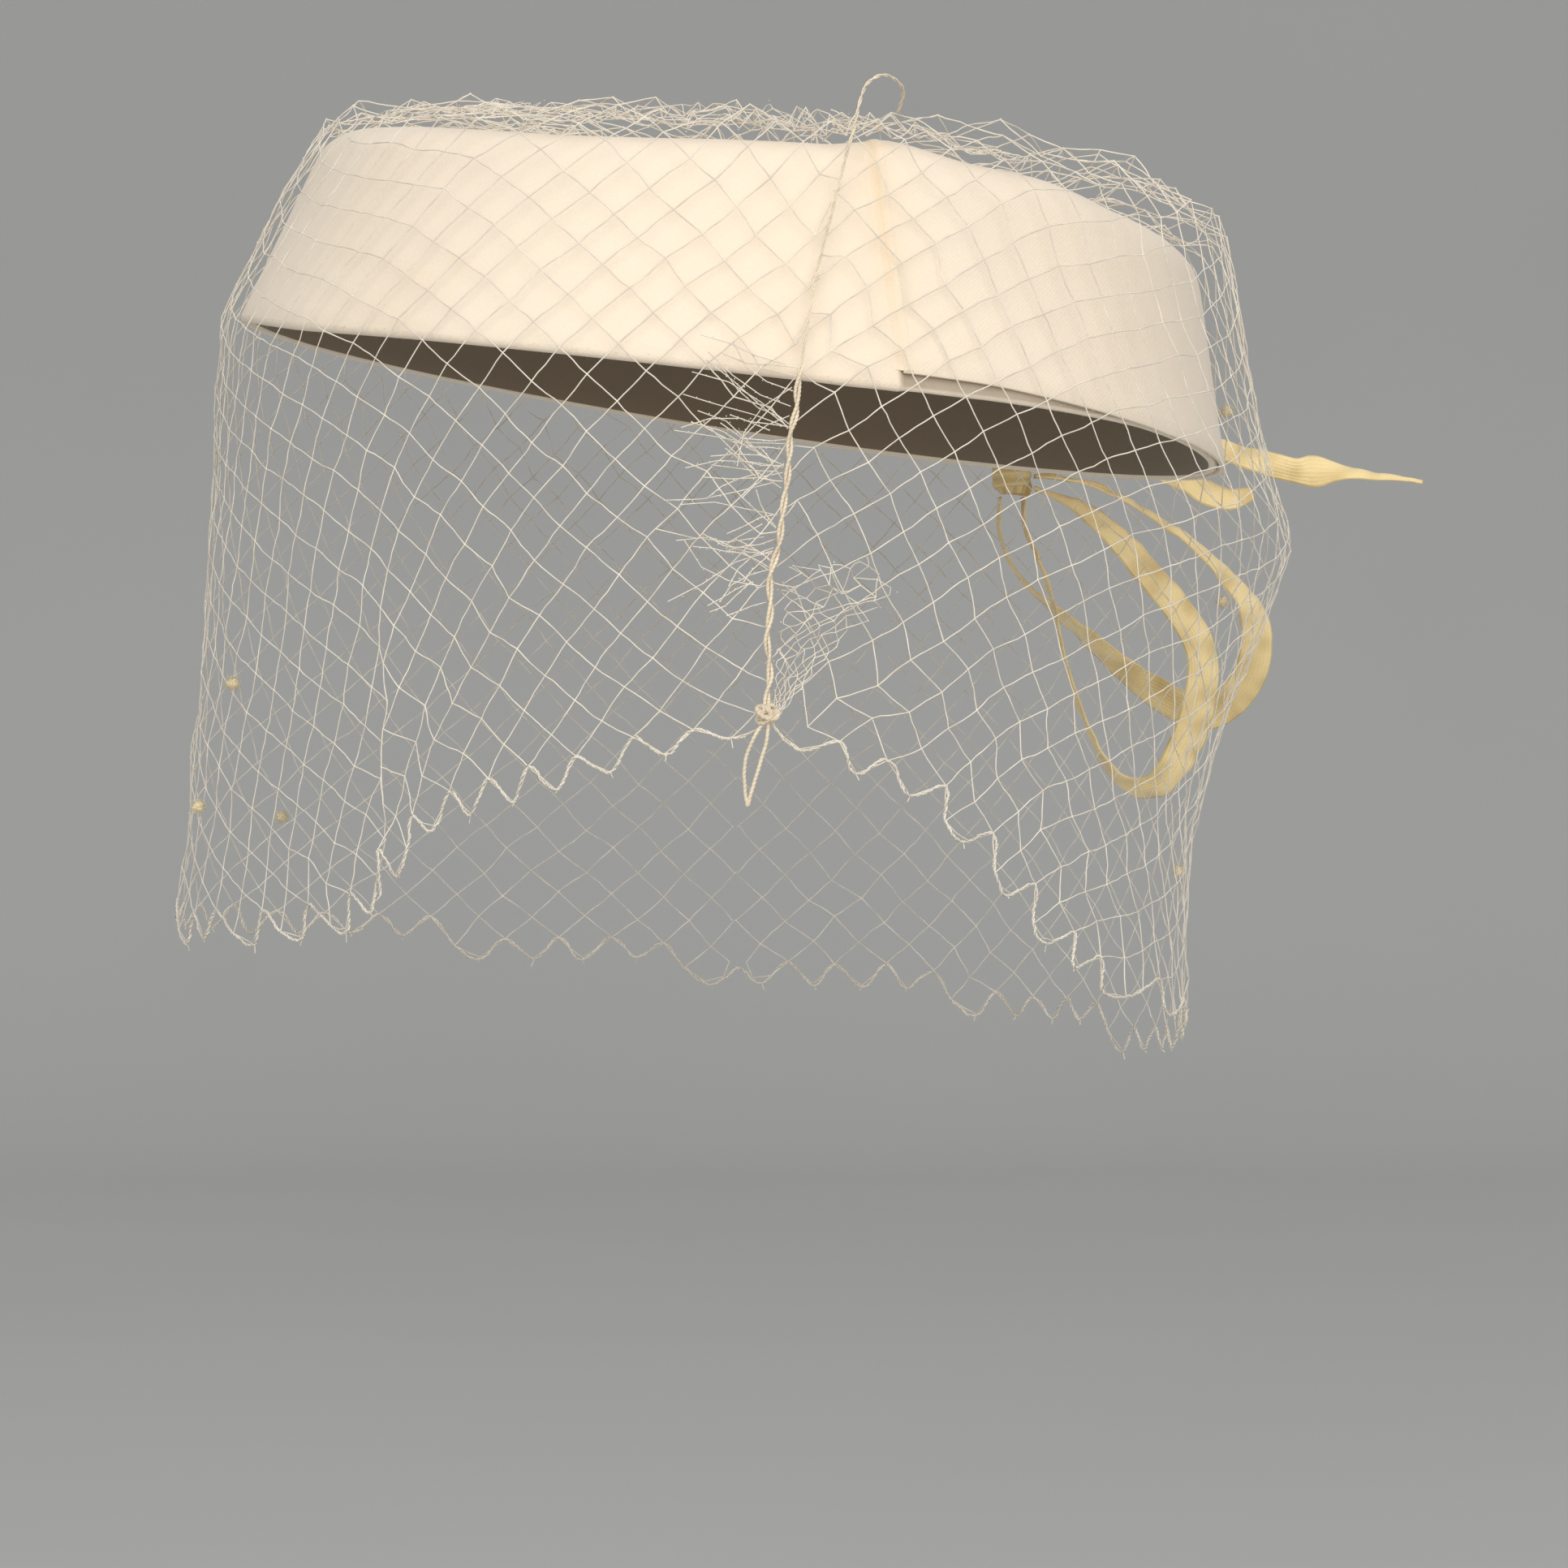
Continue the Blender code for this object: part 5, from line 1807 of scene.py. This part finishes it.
def frayed_wire(sheet, seed):
    """Loose thread ends that wander across each other left of the cord as seen from the front."""
    random = np.random.default_rng(seed + 11)
    paths = []
    for k in range(50):
        heading = math.radians(random.uniform(4, 42)) * (1 if k % 2 else -1)
        length = random.uniform(5, 17) * MM
        at = np.array((-random.uniform(0, 4) * (0 if k % 3 else 1), random.uniform(-37, 2))) * MM
        places = [at.copy()]
        for _ in range(8):
            heading += random.normal(0, 0.17)
            at += np.array((-math.cos(heading), math.sin(heading))) * length / 8
            places.append(at.copy())
        distance, rise = np.array(places).T
        azimuth = NET_FRONT + np.degrees(distance / (RIM_WIDTH / 2)) + 9 * rise / (100 * MM)
        lift = (0.9 + random.uniform(0, 2.4) * np.linspace(0, 1, 9) ** 2) * MM
        paths.append(list(sheet.place(azimuth, rise, lift)))
    return path_wire("frayed_path", paths)


def small_net(name, sheet, columns, rows, at):
    """A small piece of net, whose crossings a function places by the shares of columns and rows."""
    index, points = {}, []
    for column in range(columns):
        for row in range(column % 2, rows, 2):
            azimuth, climb, lift = at(column / (columns - 1), row / (rows - 1))
            index[column, row] = len(points)
            points.append(sheet.place([azimuth], [climb], lift)[0])
    threads = [
        (here, index[column + 1, row + up])
        for (column, row), here in index.items()
        for up in (1, -1)
        if (column + 1, row + up) in index
    ]
    return wire(name, points, threads)


def crown_folds_wire(sheet, seed):
    """Small folds of the net, drawn up along the front of the crown's top edge."""
    random = np.random.default_rng(seed + 37)
    rows = 9

    def at(across, up):
        azimuth = mix(-46, 36, across) + random.normal(0, 0.55)
        edge = float(sheet.at(sheet.edge_climb, np.array([azimuth]))[0])
        climb = edge + (mix(0.5, 16, up) + random.normal(0, 0.8)) * MM
        fullness = 0.5 + math.exp(-(((azimuth - 4) / 17) ** 2))
        row = round(up * (rows - 1))
        return azimuth, climb, (-1.9 + 0.12 * row + random.uniform(-0.4, 2.6) * fullness) * MM

    return small_net("crown_folds_wire", sheet, 58, rows, at)


def bunch_wire(sheet, seed):
    """Drawn-up meshes right of the cord as seen from the front, crumpled down to the knot."""
    random = np.random.default_rng(seed + 23)

    def at(across, down):
        width = mix(16.5, 0.8, max(0, (down - 0.2) / 0.8) ** 0.8) * MM
        width *= mix(0.75, 1, min(1, down / 0.2))
        distance = 0.6 * MM + across * width + random.normal(0, 0.65 * (1 - down)) * MM
        climb = mix(-31 + 3 * across, -54, down) + random.normal(0, 0.7 * (1.1 - down))
        lift = (0.9 + 3.0 * random.random() * (1.1 - down)) * MM
        azimuth = mix(5.2, 3.9, down) + math.degrees(distance / (RIM_WIDTH / 2))
        return azimuth, climb * MM, lift

    return small_net("bunch_wire", sheet, 11, 23, at)


# Chenille dots


class PILLBOX_OT_dots(bpy.types.Operator):
    """Makes the chenille dots on the net"""

    bl_idname = "pillbox.dots"
    bl_label = "Chenille dots"

    def execute(self, context):
        settings = context.scene.pillbox_cord
        pile = shared_material(
            "chenille pile", thread_material, settings.dot_colour, 0.95, 0.5, 1500.0
        )
        tree = shared_pattern("fibres", fuzz_pattern)
        for number, row in enumerate(DOTS, start=1):
            centre = over_veil(column_azimuth(row.column), row.level, GAP + DOT_DIAMETER / 2)
            values = {
                "Density": 1.1e7,
                "Length": DOT_DIAMETER * 0.34,
                "Thickness": 0.00014,
                "Splay": 0.55,
                "Seed": number,
                "Keep Surface": True,
                "Material": pile,
            }
            core = dot_core(centre, number)
            node = f"chenille_dot_{number}"
            patterned(f"chenille_tuft_{number}", tree, core, values, "chenille", node)
        return {"FINISHED"}


def dot_core(centre, number):
    """The uneven middle of a tuft."""
    rings = []
    for k in range(1, 8):
        polar = math.pi * k / 8
        ring = []
        for n in range(12):
            turn = math.tau * n / 12
            out = math.sin(polar)
            spoke = Vector((out * math.cos(turn), out * math.sin(turn), math.cos(polar)))
            lump = noise.noise(spoke * 1.6 + Vector((number, 0, 0)))
            size = DOT_DIAMETER * 0.33 * (1 + 0.35 * lump)
            ring.append(centre + spoke * size)
        rings.append(ring)
    mesh = loft("dot_core", rings, True, False, {})
    faces_outward(mesh, centre)
    return linked("dot_core", mesh)


# Ribbon bow


def ribbon_mesh(name, rows, settings, steps=150, across_steps=8):
    """A crinkled strip along the ribbon's way, with a fold line down its middle."""
    centre = bow_centre()
    path, turns, widths = [], [], []
    for k in range(steps + 1):
        row = smooth_rows(rows, k / steps)
        path.append(centre + Vector((BOW_REACH * row.out, BOW_SWING * row.swing, -BOW_DROP * row.drop)))
        turns.append(math.radians(row.turn))
        widths.append(RIBBON_WIDTH * row.width / 2)
    crinkle = [0.0] * len(path)
    for at, reach, narrowing, extra in CRUSHES.get(name, ()):
        for k in range(steps + 1):
            near = math.exp(-(((k / steps - at) / reach) ** 2))
            widths[k] *= 1 - narrowing * near
            crinkle[k] += extra * near
    rings, shade = [], []
    for k, point in enumerate(path):
        along_it = (path[min(k + 1, steps)] - path[max(k - 1, 0)]).normalized()
        level = (Vector((0, 1, 0)) - along_it * along_it.y).normalized()
        upright = along_it.cross(level)
        across = level * math.cos(turns[k]) + upright * math.sin(turns[k])
        face = along_it.cross(across)
        ring, marks = [], []
        for n in range(across_steps + 1):
            side = 2 * n / across_steps - 1
            place = point + across * widths[k] * side
            crease = noise.noise(place * 260 + Vector((len(name), 0, 0)))
            fine = noise.noise(place * 800)
            cup = (1 - abs(side)) * 0.35 * MM
            ring.append(place + face * (0.45 * MM * crease * (1 + crinkle[k]) + 0.1 * MM * fine + cup))
            # Painted shade: darker where the crease noise pushes the ribbon back and where it is crushed.
            marks.append(min(max(0.12 - 0.6 * crease, 0) + 0.3 * crinkle[k] * (0.5 - crease), 0.75))
        rings.append(ring)
        shade.append(marks)
    mesh = loft(name, rings, False, False, {"shade": shade})
    piece = linked("woven_" + name, mesh)
    wall = piece.modifiers.new("cloth", "SOLIDIFY")
    wall.thickness = settings.thickness
    wall.offset = 0
    return piece


def knot_wrap_mesh():
    """Three turns of gathered ribbon pulled tight round the middle of the bow."""
    centre = bow_centre()
    rings, shade = [], []
    turns, steps = 3, 48
    total = turns * steps
    for k in range(total + 1):
        angle = math.tau * k / steps
        rise = mix(-0.33, 0.33, k / total) * BOW_KNOT_HEIGHT
        outer = BOW_KNOT_WIDTH / 2 * mix(0.94, 1.0, math.sin(angle * 1.7) * 0.5 + 0.5)
        ring, marks = [], []
        for n in range(14):
            turn = math.tau * n / 14
            pleat = 1 + 0.12 * math.cos(5 * turn + angle)
            radius = outer - 1.0 * MM + 0.95 * MM * math.cos(turn) * pleat
            height = rise + 1.75 * MM * math.sin(turn) * pleat
            spoke = Vector((math.cos(angle), math.sin(angle), 0))
            ring.append(centre + spoke * radius + Vector((0, 0, height)))
            # Painted shade in the hollows of the pleats.
            marks.append(0.5 - 0.4 * math.cos(5 * turn + angle))
        rings.append(ring)
        shade.append(marks)
    return loft("bow_knot", rings, True, False, {"shade": shade})


def knot_heart_mesh():
    """The bunched ribbon inside the wraps."""
    centre = bow_centre()
    rings, shade = [], []
    for k in range(13):
        share = k / 12
        swell = math.sin(math.pi * mix(0.14, 0.86, share)) ** 0.45
        height = mix(-0.46, 0.46, share) * BOW_KNOT_HEIGHT
        ring, marks = [], []
        for n in range(28):
            turn = math.tau * n / 28
            spoke = Vector((math.cos(turn), math.sin(turn), 0))
            pleat = 1 + 0.07 * math.cos(7 * turn + 3 * share)
            ring.append(centre + spoke * BOW_KNOT_WIDTH * 0.4 * swell * pleat + Vector((0, 0, height)))
            # Painted shade in the hollows of the pleats.
            marks.append(0.45 - 0.35 * math.cos(7 * turn + 3 * share))
        rings.append(ring)
        shade.append(marks)
    return loft("bow_heart", rings, True, False, {"shade": shade})


class PILLBOX_OT_bow(bpy.types.Operator):
    """Makes the ribbon bow: its wrapped knot, two loops and two tails"""

    bl_idname = "pillbox.bow"
    bl_label = "Ribbon bow"

    def execute(self, context):
        settings = context.scene.pillbox_bow
        # The ribbon's material paints shade into its creases and pleats as well as its aged tone.
        ribbon = shared_material("aged ribbon", ribbon_material, settings)
        for name, rows in RIBBONS.items():
            piece = ribbon_mesh(name, rows, settings)
            piece.data.materials.append(ribbon)
            finish_piece(piece, "ribbon", name)
        for name, make in (("wrapped_bow_knot", knot_wrap_mesh), ("bow_knot_heart", knot_heart_mesh)):
            mesh = make()
            faces_outward(mesh, bow_centre())
            mesh.materials.append(ribbon)
            finish_piece(linked(name, mesh), "ribbon", "bow_knot")
        return {"FINISHED"}


# Stage


def backdrop_mesh(floor_height):
    """A floor that curves up into a wall behind the hat."""
    foot = WALL_BACK - WALL_BEND
    profile = [(FLOOR_FRONT, floor_height), (foot, floor_height)]
    for k in range(1, 17):
        angle = math.pi / 2 * k / 16
        back = foot + WALL_BEND * math.sin(angle)
        profile.append((back, floor_height + WALL_BEND - WALL_BEND * math.cos(angle)))
    profile.append((WALL_BACK, WALL_TOP))
    rings = [[(x, y, z) for y, z in profile] for x in (-WALL_SIDE, WALL_SIDE)]
    mesh = loft("backdrop", rings, False, False, {})
    mesh.flip_normals()
    return mesh


class PILLBOX_OT_stage(bpy.types.Operator):
    """Makes the floor and backdrop, the soft light and the camera"""

    bl_idname = "pillbox.stage"
    bl_label = "Stage"

    def execute(self, context):
        settings = context.scene.pillbox_stage
        mesh = backdrop_mesh(settings.floor_height)
        mesh.materials.append(shared_material("backdrop paper", stage_material, settings))
        linked("backdrop", mesh)

        key = bpy.data.lights.new("key", "AREA")
        key.energy = settings.key_power
        key.shape = "DISK"
        key.size = KEY_SIZE
        key.color = KEY_COLOUR
        lamp = linked("key", key)
        lamp.location = KEY_PLACE
        lamp.rotation_euler = (Vector(KEY_AIM) - lamp.location).to_track_quat("-Z", "Y").to_euler()

        world = bpy.data.worlds.new("soft daylight")
        world.use_nodes = True
        sky = world.node_tree.nodes["Background"].inputs
        sky["Color"].default_value = SKY_COLOUR
        sky["Strength"].default_value = SKY_STRENGTH
        context.scene.world = world
        context.scene.view_settings.view_transform = "Standard"

        camera = bpy.data.cameras.new("camera")
        camera.lens = CAMERA_LENS
        camera.sensor_width = CAMERA_SENSOR
        eye = linked("camera", camera)
        eye.location = CAMERA_PLACE
        eye.rotation_euler = (math.pi / 2, 0, 0)
        context.scene.camera = eye
        return {"FINISHED"}


# Panel and registration


class PILLBOX_PT_pieces(bpy.types.Panel):
    """Lists the pieces of the hat with their settings"""

    bl_idname = "PILLBOX_PT_pieces"
    bl_label = "Pillbox Hat"
    bl_space_type = "VIEW_3D"
    bl_region_type = "UI"
    bl_category = "Pillbox Hat"

    def draw(self, context):
        for label, group, operators in PIECES:
            box = self.layout.box()
            box.label(text=label)
            settings = getattr(context.scene, group)
            for name in settings.bl_rna.properties.keys():
                if name not in ("rna_type", "name"):
                    box.prop(settings, name)
            for operator in operators:
                box.operator(operator.bl_idname)


PIECES = (
    ("Crown", "pillbox_crown", (PILLBOX_OT_crown, PILLBOX_OT_fuzz)),
    ("Net", "pillbox_net", (PILLBOX_OT_net, PILLBOX_OT_gathers)),
    ("Cord", "pillbox_cord", (PILLBOX_OT_cord, PILLBOX_OT_dots)),
    ("Bow", "pillbox_bow", (PILLBOX_OT_bow,)),
    ("Stage", "pillbox_stage", (PILLBOX_OT_stage,)),
)
GROUPS = {
    "pillbox_crown": PillboxCrown,
    "pillbox_net": PillboxNet,
    "pillbox_cord": PillboxCord,
    "pillbox_bow": PillboxBow,
    "pillbox_stage": PillboxStage,
}
OPERATORS = [operator for _, _, operators in PIECES for operator in operators]


def register():
    for kind in (*GROUPS.values(), *OPERATORS, PILLBOX_PT_pieces):
        bpy.utils.register_class(kind)
    for name, group in GROUPS.items():
        setattr(bpy.types.Scene, name, PointerProperty(type=group))


def unregister():
    for name in GROUPS:
        delattr(bpy.types.Scene, name)
    for kind in (PILLBOX_PT_pieces, *reversed(OPERATORS), *GROUPS.values()):
        bpy.utils.unregister_class(kind)


def main():
    register()
    bpy.ops.pillbox.stage()
    bpy.ops.pillbox.crown()
    bpy.ops.pillbox.fuzz()
    bpy.ops.pillbox.net()
    bpy.ops.pillbox.gathers()
    bpy.ops.pillbox.cord()
    bpy.ops.pillbox.dots()
    bpy.ops.pillbox.bow()


if __name__ == "__main__":
    main()
